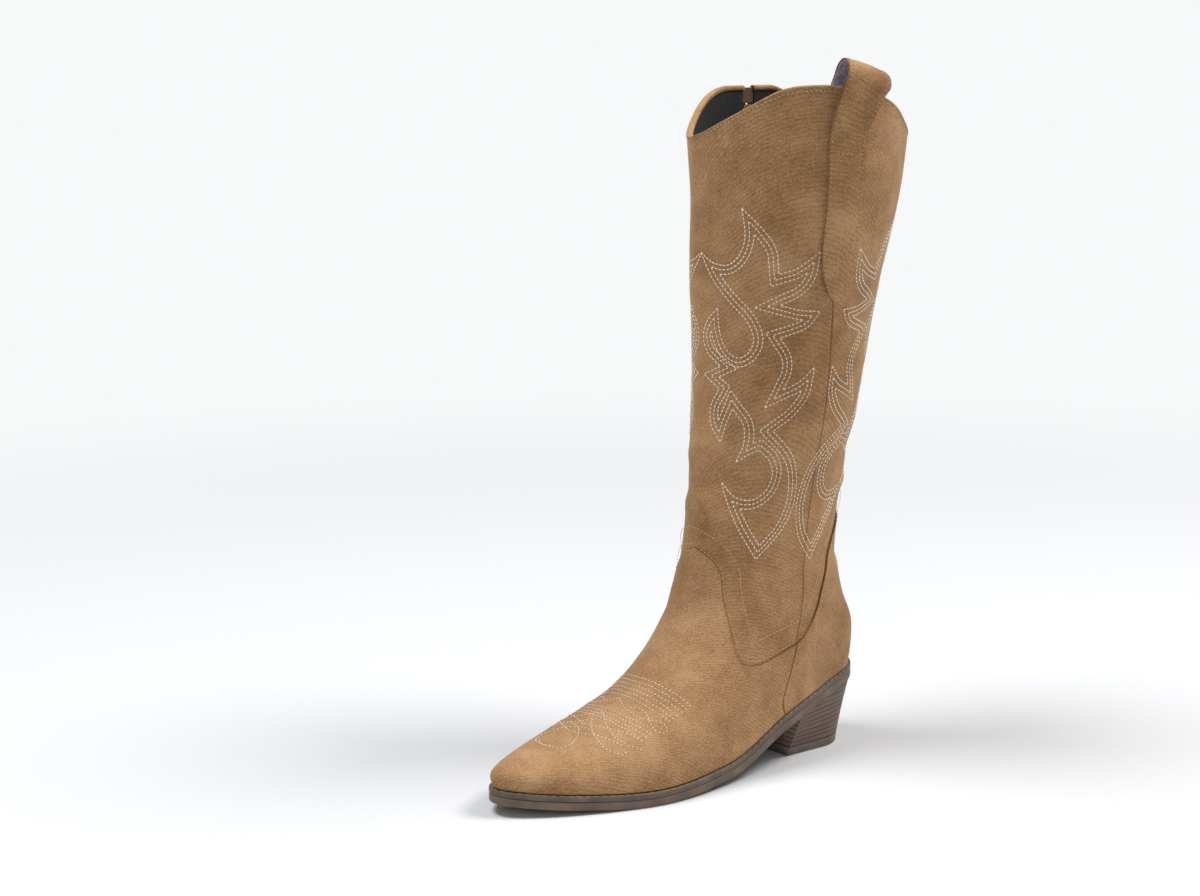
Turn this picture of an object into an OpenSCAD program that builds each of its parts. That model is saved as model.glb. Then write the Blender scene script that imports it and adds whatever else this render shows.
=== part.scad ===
// Tall western boot, left foot, with a pull strap on the outer side and a zip on the inner side.
// Millimetres. Toe to -Y, heel back to +Y, outer side +X, zip side -X, up +Z.
// Origin: the middle of the heel's tread, on the floor.
// The upper is one surface, P(u, v). u runs round the boot in degrees: 0 at the heel's back,
// 90 on the outer side, 180 at the toe or front, 270 on the zip side. v runs up from 0 at the
// feather line, where the upper meets the sole, through 6 at the ankle to 10 at the rim.
// Each soft piece is a patch of that surface between two depths below or above it.

/* [Foot] */
// Length of the upper along the feather line
foot_l = 277; // [220:1:340]
// How far the heel's back stands behind the origin
back_y = 36; // [25:0.5:50]
// Width of the upper at the ball
ball_w = 88; // [65:0.5:110]
// Width of the upper at the waist
waist_w = 70; // [50:0.5:90]
// Width of the upper at the heel seat
seat_w = 63; // [45:0.5:80]
// Width of the toe, a seventh of the length behind the tip
toe_w = 60; // [30:0.5:75]
// Height of the toe box above the toe's feather line
toe_box_h = 20; // [14:0.5:34]
// How far the toe is lifted off the floor
toe_spring = 7; // [3:0.5:20]

/* [Shaft] */
// Height of the rim at its sides
boot_h = 425; // [330:1:520]
// Height of the ankle above the heel seat
ankle_rise = 136; // [110:1:175]
// Front to back of the ankle
ankle_l = 113; // [90:1:140]
// Side to side of the ankle
ankle_w = 79; // [62:1:100]
// Front to back of the top
top_l = 152; // [120:1:200]
// Side to side of the top
top_w = 112; // [90:1:150]
// How far the top's middle stands behind the ankle's
lean_back = 13.5; // [0:0.5:24]
// How far the top's middle stands to the outer side of the ankle's
lean_out = 18.5; // [0:0.5:24]
// Drop of the rim in front
front_dip = 29; // [0:1:50]
// Drop of the rim at the back
back_dip = 32; // [0:1:50]
// How far the shaft's front comes to a ridge
front_ridge = 0.03; // [0:0.01:0.1]
// How far the shaft's back is squared
back_square = 0.01; // [0:0.01:0.1]

/* [Sole and heel] */
// Height of the feather line above the floor at the heel breast
heel_h = 45; // [30:0.5:75]
// Further rise of the heel seat to its back
seat_rise = 8; // [0:0.5:14]
// Thickness of the outsole
outsole_t = 5.3; // [3:0.1:9]
// Thickness of the welt strip
welt_t = 3.6; // [2:0.1:6]
// How far the sole stands out round the upper
sole_margin = 3.5; // [2:0.1:7]
// How far the welt reaches in under the insole
welt_in = 9; // [6:0.5:14]
// Thickness of the heel's wearing piece
top_piece_t = 6; // [3:0.5:10]
// Length of the tread of the heel
tread_l = 58; // [40:0.5:75]
// Width of the tread of the heel
tread_w = 53; // [38:0.5:70]
// How far the heel breast slopes forward to its top
breast_rake = 2; // [0:0.5:10]
// Thickness of the insole board
insole_t = 2; // [1:0.1:3.5]
// Thickness of the sock liner
sock_t = 1.6; // [0.8:0.1:4]
// Width of the steel shank
shank_w = 14; // [8:0.5:20]
// Thickness of the steel shank
shank_t = 1.2; // [0.8:0.1:2]
// Length of the steel shank
shank_l = 110; // [80:1:150]
// Distance from the back of the heel to the shank's rear end
shank_in = 20; // [10:1:40]
// Gap between the shank's front end and the filler's edge
filler_gap = 3.7; // [0.5:0.1:10]
// Radius of the heel screw's shank
screw_r = 2.2; // [1.5:0.1:3]
// Length of the heel screw
screw_l = 34; // [22:1:50]
// Radius of a heel nail
nail_r = 1.2; // [0.8:0.1:1.8]
// Length of a heel nail
nail_l = 22; // [12:1:36]

/* [Upper leathers] */
// Thickness of the shaft panels, vamp and counter
suede_t = 1.4; // [0.8:0.1:2.5]
// Thickness of the lining
lining_t = 1.1; // [0.6:0.1:2]
// Thickness of the toe puff and the counter stiffener
stiff_t = 1.2; // [0.6:0.1:1.4]
// How far the panels tuck in under the vamp and the counter, in units of v
tuck = 0.55; // [0.3:0.05:1]

/* [Pull strap] */
// Width of the pull strap
strap_w = 27; // [18:0.5:40]
// Thickness of the strap's suede
strap_t = 1.2; // [0.8:0.1:2]
// Thickness of the strap's backing
strap_back_t = 0.7; // [0.4:0.1:1.2]
// Height of the loop above the rim
loop_h = 14; // [10:0.5:35]
// How far the strap's pointed end reaches down from the rim
strap_drop = 122; // [70:1:160]
// How far the strap runs down inside
strap_inner = 62; // [40:1:100]

/* [Zip] */
// Gap between the edges of the suede at the zip
zip_gap = 8.4; // [8:0.1:12]
// Width of one tape
tape_w = 11; // [8:0.5:16]
// Thickness of a tape
tape_t = 0.6; // [0.4:0.1:1]
// Width of one side's teeth
teeth_w = 2.1; // [1.6:0.1:2.4]
// Height of the teeth above the tape
teeth_h = 2; // [1.4:0.1:2.2]
// Gap between the two sides
mid_gap = 1.2; // [1:0.1:1.6]
// Length of the slider
slider_l = 11; // [8:0.5:16]
// Width of the slider's plates
slider_w = 8; // [7:0.1:9]
// Thickness of the slider's plates
plate_t = 0.9; // [0.6:0.1:1.4]
// Length of the puller
puller_l = 25; // [15:0.5:40]
// Width of the puller
puller_w = 5.4; // [4:0.1:8]
// Thickness of the puller
puller_t = 1.2; // [0.8:0.1:1.8]
// Height of the slider's middle below the rim when closed
slider_top = 17; // [10:0.5:30]

/* [Fits] */
// Gap between leather layers that lie on each other
layer_gap = 0.1; // [0.05:0.05:0.3]
// Gap between pieces that meet edge to edge
seam_gap = 0.3; // [0.1:0.1:0.8]
// Gap between the slider and what it runs on
run_gap = 0.4; // [0.3:0.05:0.8]
// Gap round a screw or nail in its hole
nail_gap = 0.05; // [0:0.05:0.2]

/* [Hidden] */
$fn = 48;
sole_t = outsole_t + welt_t;
toe_y = back_y - foot_l;
ankle_z = heel_h + ankle_rise;
rim_z = boot_h;

// ---------- curves ----------
function mix(a, b, t) = a + (b - a) * t;
function clamp(t, a = 0, b = 1) = min(max(t, a), b);
function seg(t, X, i = 0) = (i >= len(X) - 2 || t < X[i + 1]) ? i : seg(t, X, i + 1);
function rise(X, Y, i) = (Y[i + 1] - Y[i]) / (X[i + 1] - X[i]);
function slope(X, Y, i) =
    i == 0 ? rise(X, Y, 0) : i == len(X) - 1 ? rise(X, Y, i - 1) :
    let (a = rise(X, Y, i - 1), b = rise(X, Y, i)) a * b <= 0 ? 0 : 2 * a * b / (a + b);
// A smooth curve through points (X, Y) that never overshoots them, straight beyond its ends.
function curve(t, X, Y) =
    t <= X[0] ? Y[0] + (t - X[0]) * slope(X, Y, 0) :
    t >= X[len(X) - 1] ? Y[len(X) - 1] + (t - X[len(X) - 1]) * slope(X, Y, len(X) - 1) :
    let (i = seg(t, X), w = X[i + 1] - X[i], f = (t - X[i]) / w, a = slope(X, Y, i) * w, b = slope(X, Y, i + 1) * w)
    Y[i] * (1 + 2 * f) * pow(1 - f, 2) + a * f * pow(1 - f, 2) + Y[i + 1] * f * f * (3 - 2 * f) + b * f * f * (f - 1);

// ---------- the feather line ----------
// Height of the feather line at a place along the foot.
BY = [for (q = [1, 0.874, 0.693, 0.477, 0.296, 0.152, 0]) back_y - q * foot_l];
BZ = [sole_t + toe_spring, sole_t + toe_spring * 0.44, sole_t, sole_t + (heel_h - sole_t) * 0.12,
      sole_t + (heel_h - sole_t) * 0.69, heel_h, heel_h + seat_rise];
function bot(y) = curve(y, BY, BZ);
// Half width over sin(u) at a share of the length from the heel's back, on the outer and inner side.
HT = [0, 0.14, 0.42, 0.68, 0.86, 1];
HL = [seat_w, seat_w * 0.74, waist_w * 0.62, ball_w * 0.57, toe_w * 0.741, toe_w * 0.592];
HM = [seat_w * 0.97, seat_w * 0.71, waist_w * 0.4, ball_w * 0.507, toe_w * 0.704, toe_w * 0.555];

// ---------- the upper's surface ----------
// One row for each whole v: back y, back z, front y, front z, share of the shaft's own width,
// outer half width, inner half width.
function shaft_row(f, len_share, out_share) =
    let (mid = back_y - 7 - ankle_l / 2 + lean_back * f, half = mix(ankle_l, top_l, len_share) / 2,
         z = mix(ankle_z, rim_z, f), inner = mix(ankle_w / 2, top_w / 2 - lean_out, f))
    [mid + half, z, mid - half, z, 1, inner + 2 * lean_out * out_share, inner];
toe_top = sole_t + toe_spring + toe_box_h;
ROWS = [
    [back_y, heel_h + seat_rise, toe_y, sole_t + toe_spring, 0, ankle_w * 0.45, ankle_w * 0.45],
    [back_y + 2, heel_h + seat_rise + 12, toe_y + 1.5, toe_top - toe_box_h / 2, 0, ankle_w * 0.45, ankle_w * 0.45],
    [back_y + 1.5, heel_h + seat_rise + 30, toe_y + foot_l * 0.134, toe_top, 0.1, ankle_w * 0.455, ankle_w * 0.468],
    [back_y - 6, heel_h + seat_rise + 48, toe_y + foot_l * 0.313, mix(toe_top, ankle_z, 0.09), 0.33, ankle_w * 0.443, ankle_w * 0.475],
    [back_y - 10.5, heel_h + seat_rise + 66, toe_y + foot_l * 0.452, mix(toe_top, ankle_z, 0.31), 0.6, ankle_w * 0.437, ankle_w * 0.468],
    [back_y - 13, mix(heel_h, ankle_z, 0.69), toe_y + foot_l * 0.53, mix(toe_top, ankle_z, 0.587), 0.85, ankle_w * 0.437, ankle_w * 0.481],
    shaft_row(0, 0, 0),
    shaft_row(0.232, 0.07, 0.42),
    shaft_row(0.527, 0.43, 0.74),
    shaft_row(0.78, 0.7, 1.08),
    shaft_row(1, 1, 1)];
function row_at(i) = i < 0 ? 2 * ROWS[0] - ROWS[1] : i > 10 ? 2 * ROWS[10] - ROWS[9] : ROWS[i];
function row(v) =
    let (i = clamp(floor(v), 0, 9), f = v - i, a = row_at(i - 1), b = row_at(i), c = row_at(i + 1), d = row_at(i + 2))
    0.5 * (2 * b + (c - a) * f + (2 * a - 5 * b + 4 * c - d) * f * f + (3 * b - a - 3 * c + d) * f * f * f);
// How far the rim drops in front and behind: its share of the dips at angles u.
DU = [0, 20, 35, 48, 55, 60, 66, 73, 80.5, 90, 100, 116, 126, 134, 142, 150, 158, 166, 176, 183, 190, 200, 212, 221, 230, 240,
      249, 256, 284, 290, 296, 301, 306, 313, 325, 340, 360];
DS = [1, 0.97, 0.91, 0.81, 0.68, 0.57, 0.41, 0.265, 0.155, 0.055, -0.03, -0.09, -0.07, 0, 0.16, 0.345, 0.53, 0.71, 0.91, 0.98, 1, 0.93,
      0.745, 0.555, 0.345, 0.155, 0.04, 0, 0, 0.06, 0.21, 0.4, 0.58, 0.77, 0.91, 0.97, 1];
function dip(u) = let (a = u - 360 * floor(u / 360)) (a > 92 && a < 270 ? front_dip : back_dip) * curve(a, DU, DS);
function P(u, v) =
    let (r = row(v), s = sin(u), c = cos(u), t = (1 - c) / 2, m = r[4], y = mix(r[0], r[2], t),
         T = clamp((back_y - y) / foot_l), w = s >= 0 ? mix(curve(T, HT, HL), r[5], m) : mix(curve(T, HT, HM), r[6], m),
         k = 1 + m * pow(sin(2 * u), 2) * (c > 0 ? back_square : -front_ridge), mid = (r[0] + r[2]) / 2,
         bb = bot(min(r[0], back_y)), bf = bot(max(r[2], toe_y)), by = bot(clamp(y, toe_y, back_y)))
    [s * w * k, mid + (y - mid) * k,
     r[1] + (r[3] - r[1] - (1 - m) * (bf - bb)) * t + (1 - m) * (by - bb) - (v > 8 ? dip(u) * pow((v - 8) / 2, 2) : 0)];
function unit(a) = a / norm(a);
function normal(u, v) = unit(cross(P(u, v + 0.01) - P(u, v - 0.01), P(u + 0.2, v) - P(u - 0.2, v)));
function Q(u, v, d) = P(u, v) + d * normal(u, v);
// Degrees of u that an arc length takes up at (u, v).
function arc(mm, u, v) = mm / norm(P(u + 0.5, v) - P(u - 0.5, v));

// ---------- the lines where the pieces meet ----------
function seam_u(v) = curve(v, [0, 2.4, 5.5, 6.9, 8, 10], [66, 71, 83, 91.5, 100, 104]);
function zip_u(v) = curve(clamp(v, 0, 10), [0, 0.4, 1.2, 1.9, 2.7, 3.6, 4.4, 5.2, 6, 10], [297, 300, 301, 297.5, 289.5, 278, 271.5, 270, 270, 270]);
// Upper edge of the vamp, the same on both sides of its tongue.
function vamp_top(u) = curve(180 - abs(u - 180), [66, 87, 103, 112, 122, 130, 139, 144, 148, 156, 168, 180],
    [2.75, 2.95, 3.28, 3.55, 3.95, 4.3, 4.67, 4.9, 5.1, 5.23, 5.33, 5.38]);
// Upper edge of the counter, by the angle from the heel's back.
function counter_top(a) = curve(a, [0, 20, 35, 45, 50, 55, 59, 63, 68, 75], [5.5, 5.42, 5.25, 4.95, 4.5, 4, 3.5, 3.1, 2.85, 2.75]);

// ---------- solids ----------
// Closes two grids of points, outer A and inner B, each n by m, into one solid.
module skin(A, B) {
    n = len(A); m = len(A[0]); o = n * m;
    function a(i, j) = i * m + j;
    function b(i, j) = o + i * m + j;
    polyhedron(points = concat([for (r = A) for (p = r) p], [for (r = B) for (p = r) p]),
        faces = concat(
            [for (i = [0 : n - 2]) for (j = [0 : m - 2]) each [[a(i, j), a(i + 1, j), a(i + 1, j + 1)], [a(i, j), a(i + 1, j + 1), a(i, j + 1)],
                [b(i, j), b(i + 1, j + 1), b(i + 1, j)], [b(i, j), b(i, j + 1), b(i + 1, j + 1)]]],
            [for (i = [0 : n - 2]) each [[a(i + 1, 0), a(i, 0), b(i, 0)], [a(i + 1, 0), b(i, 0), b(i + 1, 0)],
                [a(i, m - 1), a(i + 1, m - 1), b(i + 1, m - 1)], [a(i, m - 1), b(i + 1, m - 1), b(i, m - 1)]]],
            [for (j = [0 : m - 2]) each [[a(0, j), a(0, j + 1), b(0, j + 1)], [a(0, j), b(0, j + 1), b(0, j)],
                [a(n - 1, j + 1), a(n - 1, j), b(n - 1, j)], [a(n - 1, j + 1), b(n - 1, j), b(n - 1, j + 1)]]]),
        convexity = 12);
}
// A patch of the upper from depth d1 out to depth d2. ul and ur give its sides at each v,
// lo and hi its lower and upper edge at each of a few nominal angles between ua and ub.
module patch(ul, ur, ua, ub, lo, hi, d1, d2, nu, nv) {
    G = [for (i = [0 : nu]) let (s = i / nu, un = mix(ua, ub, s)) [for (j = [0 : nv])
        let (v = mix(lo(un), hi(un), j / nv)) [mix(ul(v), ur(v), s), v]]];
    skin([for (r = G) [for (p = r) Q(p[0], p[1], d2)]], [for (r = G) [for (p = r) Q(p[0], p[1], d1)]]);
}
// A point of the sole's outline, a distance out from the feather line and a height above it.
function rim2(u, out) =
    let (a = P(u - 0.5, 0), b = P(u + 0.5, 0), c = P(u, 0), t = unit([b[0] - a[0], b[1] - a[1]]),
         o = out < 0 ? -min(-out, 0.8 * abs(c[0]) + 2) : out)
    [c[0] - t[1] * o, c[1] + t[0] * o];
function edge(u, out, up) = let (q = rim2(u, out)) [q[0], q[1], bot(q[1]) + up];
// A sole-shaped plate between two angles from the heel's back, hugging the feather line's height.
module plate(out, z1, z2, ua = 4, ub = 176, n = 44) {
    rows = [for (i = [0 : n]) mix(ua, ub, i / n)];
    skin([for (u = rows) [for (k = [0 : 1]) let (p = rim2(k == 0 ? u : 360 - u, out)) [p[0], p[1], bot(p[1]) + z2]]],
         [for (u = rows) [for (k = [0 : 1]) let (p = rim2(k == 0 ? u : 360 - u, out)) [p[0], p[1], bot(p[1]) + z1]]]);
}

// A strip round the whole sole, between two distances from the feather line.
module band(in, out, z1, z2, n = 96) {
    R = [for (i = [0 : n - 1]) let (u = 360 * i / n) [edge(u, out, z1), edge(u, out, z2), edge(u, in, z2), edge(u, in, z1)]];
    polyhedron(points = [for (r = R) for (p = r) p],
        faces = [for (i = [0 : n - 1]) for (k = [0 : 3]) let (j = (i + 1) % n, l = (k + 1) % 4)
            each [[4 * i + k, 4 * j + k, 4 * j + l], [4 * i + k, 4 * j + l, 4 * i + l]]], convexity = 6);
}

// ---------- depths of the layers ----------
d_vamp = layer_gap;                     // inner face of the vamp and the counter
d_tape = -suede_t - 0.15 - tape_t;      // inner face of the zip tape
d_lining = d_tape - layer_gap;          // outer face of the lining
wall = -d_lining + lining_t;            // whole thickness below the surface
foot_lo = 0.03;                         // where the upper's pieces start above the feather line
lining_v = 3.7;                         // where the vamp's lining stops and the shaft's begins
tape_mid = -suede_t - 0.15 - tape_t / 2;
d_stiff = -layer_gap - 0.15;            // outer face of the toe puff and the counter stiffener
strap_gap = 0.45;                       // between the strap's legs and the shaft

// ---------- the zip's straight stretch ----------
zip_lo = P(270, 7);
zip_hi = P(270, 10);
zip_dir = unit(zip_hi - zip_lo);
zip_side = unit([0, 1, 0] - zip_dir[1] * zip_dir);
zip_out = cross(zip_dir, zip_side);
slider_at = zip_hi - slider_top * zip_dir + tape_mid * zip_out;
// Places its children on the zip: x across it, y out of the boot, z up along it.
module on_zip(at) {
    multmatrix([[zip_side[0], zip_out[0], zip_dir[0], at[0]],
                [zip_side[1], zip_out[1], zip_dir[1], at[1]],
                [zip_side[2], zip_out[2], zip_dir[2], at[2]]]) children();
}
teeth_y = tape_t / 2 + 0.05;
plate_y = teeth_y + teeth_h + run_gap;
bail_in = 1.7;
bar_r = 0.55;
bail_y = plate_y + plate_t + bail_in / 2;
teeth_end = 10 - (slider_top - slider_l / 2 - 0.6) / (0.22 * (rim_z - ankle_z));
function zip_front(v, mm) = zip_u(v) - arc(mm, zip_u(v), v);
function zip_back(v, mm) = zip_u(v) + arc(mm, zip_u(v), v) - 360;

// ---------- the heel ----------
breast_y = -tread_l / 2;
// Angle from the back at which the sole's outline reaches the breast.
function breast_u(lo = 10, hi = 90, n = 18) =
    n == 0 ? lo : let (c = (lo + hi) / 2) rim2(c, sole_margin)[1] > breast_y - breast_rake ? breast_u(c, hi, n - 1) : breast_u(lo, c, n - 1);
BU = breast_u();
heel_n = 40;
// A point of the heel's wall: i runs from the inner front corner round the back, z is its height.
function heel_pt(i, z) =
    let (f = i / heel_n, e = edge(mix(-BU, BU, f), sole_margin - 0.8, -sole_t), r = tread_w / 2, cy = tread_l / 2 - r,
         g = clamp((f - 0.13) / 0.74), tx = -r * cos(180 * g), ty = f < 0.13 ? mix(breast_y, cy, f / 0.13) :
             f > 0.87 ? mix(cy, breast_y, (f - 0.87) / 0.13) : cy + r * sin(180 * g), k = pow(z / e[2], 1.25))
    [mix(tx, e[0], k), mix(ty, e[1], k), z];
function heel_top(i) = edge(mix(-BU, BU, i / heel_n), sole_margin - 0.8, -sole_t)[2] - 0.05;
// The heel between a level height z1 and either a level z2 or, where z2 is 0, the outsole.
module heel_part(z1, z2, levels) {
    n = heel_n + 1;
    R = [for (l = [0 : levels]) [for (i = [0 : heel_n]) heel_pt(i, mix(z1, z2 > 0 ? z2 : heel_top(i), l / levels))]];
    t = levels * n;
    h = heel_n / 2;
    polyhedron(points = [for (r = R) for (p = r) p], faces = concat(
        [for (l = [0 : levels - 1]) for (i = [0 : n - 1]) let (j = (i + 1) % n, a = l * n)
            each [[a + i, a + j, a + n + j], [a + i, a + n + j, a + n + i]]],
        [for (i = [0 : h - 2]) each [[t + i, t + i + 1, t + n - 2 - i], [t + i, t + n - 2 - i, t + n - 1 - i]]],
        [[t + h - 1, t + h, t + h + 1]],
        [for (i = [0 : h - 2]) each [[i, n - 2 - i, i + 1], [i, n - 1 - i, n - 2 - i]]],
        [[h - 1, h + 1, h]]), convexity = 6);
}
screw_at = [0, 3];
nail_at = [for (a = [45, 135, 225, 315]) [15 * cos(a), 4 + 15 * sin(a)]];
function insole_top(y) = bot(y) + 0.1 + insole_t;
screw_head_h = 1.6;
screw_z = insole_top(screw_at[1] - 2 * screw_r - 0.5) - screw_head_h;
module screw(gap) {
    translate([screw_at[0], screw_at[1], screw_z - screw_l]) cylinder(r = screw_r + gap, h = screw_l + screw_head_h);
    translate([screw_at[0], screw_at[1], screw_z - gap]) cylinder(r = screw_r * 2 + gap, h = screw_head_h + gap);
}
module nail(p, gap) {
    translate([p[0], p[1], insole_top(p[1]) - 1.2 - nail_l]) cylinder(r = nail_r + gap, h = nail_l + 0.8);
}
module heel_holes() {
    screw(nail_gap);
    translate([screw_at[0], screw_at[1], screw_z]) cylinder(r = screw_r * 2 + nail_gap, h = 8);
    for (p = nail_at) {
        nail(p, nail_gap);
        translate([p[0], p[1], insole_top(p[1]) - 1.2]) cylinder(r = nail_r + nail_gap, h = 8);
    }
}

// ---------- the strap ----------
strap_u = 105;
strap_tilt = 0.12;
inner_gap = strap_gap + 0.4;
strap_t_all = strap_back_t + layer_gap + strap_t;
// Stations along the strap: height over the rim, distance out of the panel, shift to the back, share of the width.
STRAP = concat(
    [[-strap_drop, strap_gap, 7, 0.12], [-strap_drop + 5, strap_gap, 6.6, 0.48], [-strap_drop + 12, strap_gap, 6, 0.72],
     [-strap_drop + 22, strap_gap, 5, 0.87], [-strap_drop + 32, strap_gap, 4, 0.91], [-78, strap_gap, 3, 0.9], [-65, strap_gap, 1.5, 0.87],
     [-52, strap_gap, 0.5, 0.85], [-36, strap_gap, 0, 0.85], [-24, 1.6, 1.5, 0.88], [-12, 5.5, 5, 0.93], [0, 9, 8.5, 0.98],
     [loop_h - 9, 9.6, 11, 1.02], [loop_h - 3.5, 7.4, 12.5, 1.04], [loop_h - 0.5, 3, 13.2, 1.05], [loop_h - 0.5, -2.5, 13.5, 1.05],
     [loop_h - 3.5, -7, 13.2, 1.04], [loop_h - 9, -9.4, 12, 1.02], [0, -9.4, 9, 0.98], [-12, -7, 5, 0.93],
     [-24, -wall - 1.6, 1.5, 0.88], [-36, -wall - inner_gap, 0, 0.85], [-strap_inner + 12, -wall - inner_gap, 0, 0.85],
     [-strap_inner, -wall - inner_gap, 0, 0.85]]);
function strap_v(h) = h > -52 ? 10 + h / 52 : 9 + (h + 52) / 60;
function strap_pt(j, x, up) =
    let (s = STRAP[j], a = STRAP[max(j - 1, 0)], b = STRAP[min(j + 1, len(STRAP) - 1)], t = unit([b[0] - a[0], b[1] - a[1]]),
         h = s[0] - t[1] * up, n = s[1] + t[0] * up, v = strap_v(min(h, 0)), u0 = strap_u,
         u = u0 + arc(x * strap_w * s[3] - s[2], u0, v))
    Q(u, v, n) + [0, 0, max(h, 0) + x * strap_w * s[3] * strap_tilt * clamp((h + 24) / 30)];
module strap_layer(up1, up2) {
    m = 6;
    skin([for (i = [0 : m]) [for (j = [0 : len(STRAP) - 1]) strap_pt(j, i / m - 0.5, up2)]],
         [for (i = [0 : m]) [for (j = [0 : len(STRAP) - 1]) strap_pt(j, i / m - 0.5, up1)]]);
}

// ---------- sole and heel ----------
module outsole() {
    color([0.36, 0.27, 0.20]) difference() {
        plate(sole_margin, -sole_t, -welt_t - 0.05);
        heel_holes();
    }
}
module welt() {
    color([0.30, 0.25, 0.22]) band(-welt_in, sole_margin, -welt_t, -0.05);
}
module heel_block() {
    color([0.45, 0.34, 0.26]) difference() {
        heel_part(top_piece_t + 0.05, 0, 8);
        heel_holes();
    }
}
module heel_top_piece() {
    color([0.25, 0.20, 0.17]) heel_part(0, top_piece_t, 1);
}
module heel_screw() {
    color([0.7, 0.7, 0.72]) screw(0);
}
module heel_nail_1() {
    color([0.7, 0.7, 0.72]) nail(nail_at[0], 0);
}
module heel_nail_2() {
    color([0.7, 0.7, 0.72]) nail(nail_at[1], 0);
}
module heel_nail_3() {
    color([0.7, 0.7, 0.72]) nail(nail_at[2], 0);
}
module heel_nail_4() {
    color([0.7, 0.7, 0.72]) nail(nail_at[3], 0);
}
// Angle round the foot at the given distance forward of the heel's back.
function angle_at(d) = acos(clamp(1 - 2 * d / foot_l, -1, 1));
function centre_x(y) = let (u = angle_at(back_y - y)) (P(u, 0)[0] + P(-u, 0)[0]) / 2;
module shank() {
    color([0.6, 0.62, 0.65]) {
        ys = [for (i = [0 : 20]) back_y - shank_in - shank_l * i / 20];
        difference() {
            skin([for (y = ys) [for (k = [0.5, -0.5]) [centre_x(y) + k * shank_w, y, bot(y) - welt_t + 0.3 + shank_t]]],
                 [for (y = ys) [for (k = [0.5, -0.5]) [centre_x(y) + k * shank_w, y, bot(y) - welt_t + 0.3]]]);
            heel_holes();
        }
    }
}
module bottom_filler() {
    color([0.62, 0.47, 0.33]) plate(-welt_in - 0.3, -welt_t, 0, angle_at(shank_in + shank_l + filler_gap), 174, 22);
}
module insole_board() {
    color([0.80, 0.72, 0.58]) difference() {
        plate(-wall - 0.6, 0.1, 0.1 + insole_t);
        heel_holes();
    }
}
module sock_liner() {
    color([0.12, 0.12, 0.12]) plate(-wall - 0.9, 0.2 + insole_t, 0.2 + insole_t + sock_t);
}

// ---------- the upper ----------
module vamp() {
    color([0.66, 0.50, 0.35])
        patch(function(v) seam_u(v) + arc(seam_gap / 2, 70, v), function(v) zip_front(v, zip_gap / 2), 71, 288,
            function(u) foot_lo, function(u) vamp_top(u), d_vamp, d_vamp + suede_t, 46, 14);
}
module counter() {
    color([0.64, 0.48, 0.33])
        patch(function(v) zip_back(v, zip_gap / 2), function(v) seam_u(v) - arc(seam_gap / 2, 70, v), -72, 71,
            function(u) foot_lo, function(u) counter_top(abs(u)), d_vamp, d_vamp + suede_t, 28, 12);
}
module toe_puff() {
    color([0.85, 0.83, 0.78])
        patch(function(v) 133, function(v) 227, 133, 227,
            function(u) 0.15, function(u) 2.1 - 0.9 * pow((u - 180) / 47, 2), d_stiff - stiff_t, d_stiff, 20, 6);
}
module counter_stiffener() {
    color([0.85, 0.83, 0.78])
        patch(function(v) zip_back(v, zip_gap / 2 + 3), function(v) seam_u(v) - 4, -60, 66,
            function(u) 0.15, function(u) 2.1, d_stiff - stiff_t, d_stiff, 16, 5);
}
module vamp_lining() {
    color([0.10, 0.10, 0.10])
        patch(function(v) zip_back(v, slider_w / 2 + 0.9), function(v) zip_front(v, slider_w / 2 + 0.9), -60, 290,
            function(u) foot_lo, function(u) lining_v - 0.02, d_lining - lining_t, d_lining, 52, 8);
}
module shaft_front() {
    color([0.67, 0.51, 0.36])
        patch(function(v) seam_u(v) + arc(seam_gap / 2, 80, v), function(v) zip_front(v, zip_gap / 2), 71, 288,
            function(u) vamp_top(u) - tuck, function(u) 10, -suede_t, 0, 36, 22);
}
module shaft_back() {
    color([0.65, 0.49, 0.34])
        patch(function(v) zip_back(v, zip_gap / 2), function(v) seam_u(v) - arc(seam_gap / 2, 80, v), -72, 71,
            function(u) counter_top(abs(u)) - tuck, function(u) 10, -suede_t, 0, 32, 22);
}
module lining_front() {
    color([0.10, 0.10, 0.10])
        patch(function(v) seam_u(v) + arc(seam_gap / 2, 80, v), function(v) zip_front(v, slider_w / 2 + 0.9), 71, 280,
            function(u) lining_v + 0.02, function(u) 10, d_lining - lining_t, d_lining, 24, 14);
}
module lining_back() {
    color([0.12, 0.12, 0.12])
        patch(function(v) zip_back(v, slider_w / 2 + 0.9), function(v) seam_u(v) - arc(seam_gap / 2, 80, v), -80, 71,
            function(u) lining_v + 0.02, function(u) 10, d_lining - lining_t, d_lining, 20, 14);
}
module pull_strap() {
    color([0.68, 0.52, 0.37]) strap_layer(strap_back_t + layer_gap, strap_t_all);
}
module pull_strap_lining() {
    color([0.66, 0.64, 0.70]) strap_layer(0, strap_back_t);
}

// ---------- the zip ----------
module zip_tape_front() {
    color([0.30, 0.22, 0.16])
        patch(function(v) zip_front(v, mid_gap / 2 + tape_w), function(v) zip_front(v, mid_gap / 2), 260, 270,
            function(u) foot_lo, function(u) 9.97, d_tape, d_tape + tape_t, 3, 50);
}
module zip_tape_back() {
    color([0.30, 0.22, 0.16])
        patch(function(v) zip_back(v, mid_gap / 2), function(v) zip_back(v, mid_gap / 2 + tape_w), -90, -80,
            function(u) foot_lo, function(u) 9.97, d_tape, d_tape + tape_t, 3, 50);
}
module zip_teeth_front() {
    color([0.36, 0.26, 0.18])
        patch(function(v) zip_front(v, mid_gap / 2 + teeth_w), function(v) zip_front(v, mid_gap / 2), 260, 270,
            function(u) 0.34, function(u) teeth_end, tape_mid + teeth_y, tape_mid + teeth_y + teeth_h, 1, 70);
}
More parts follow.
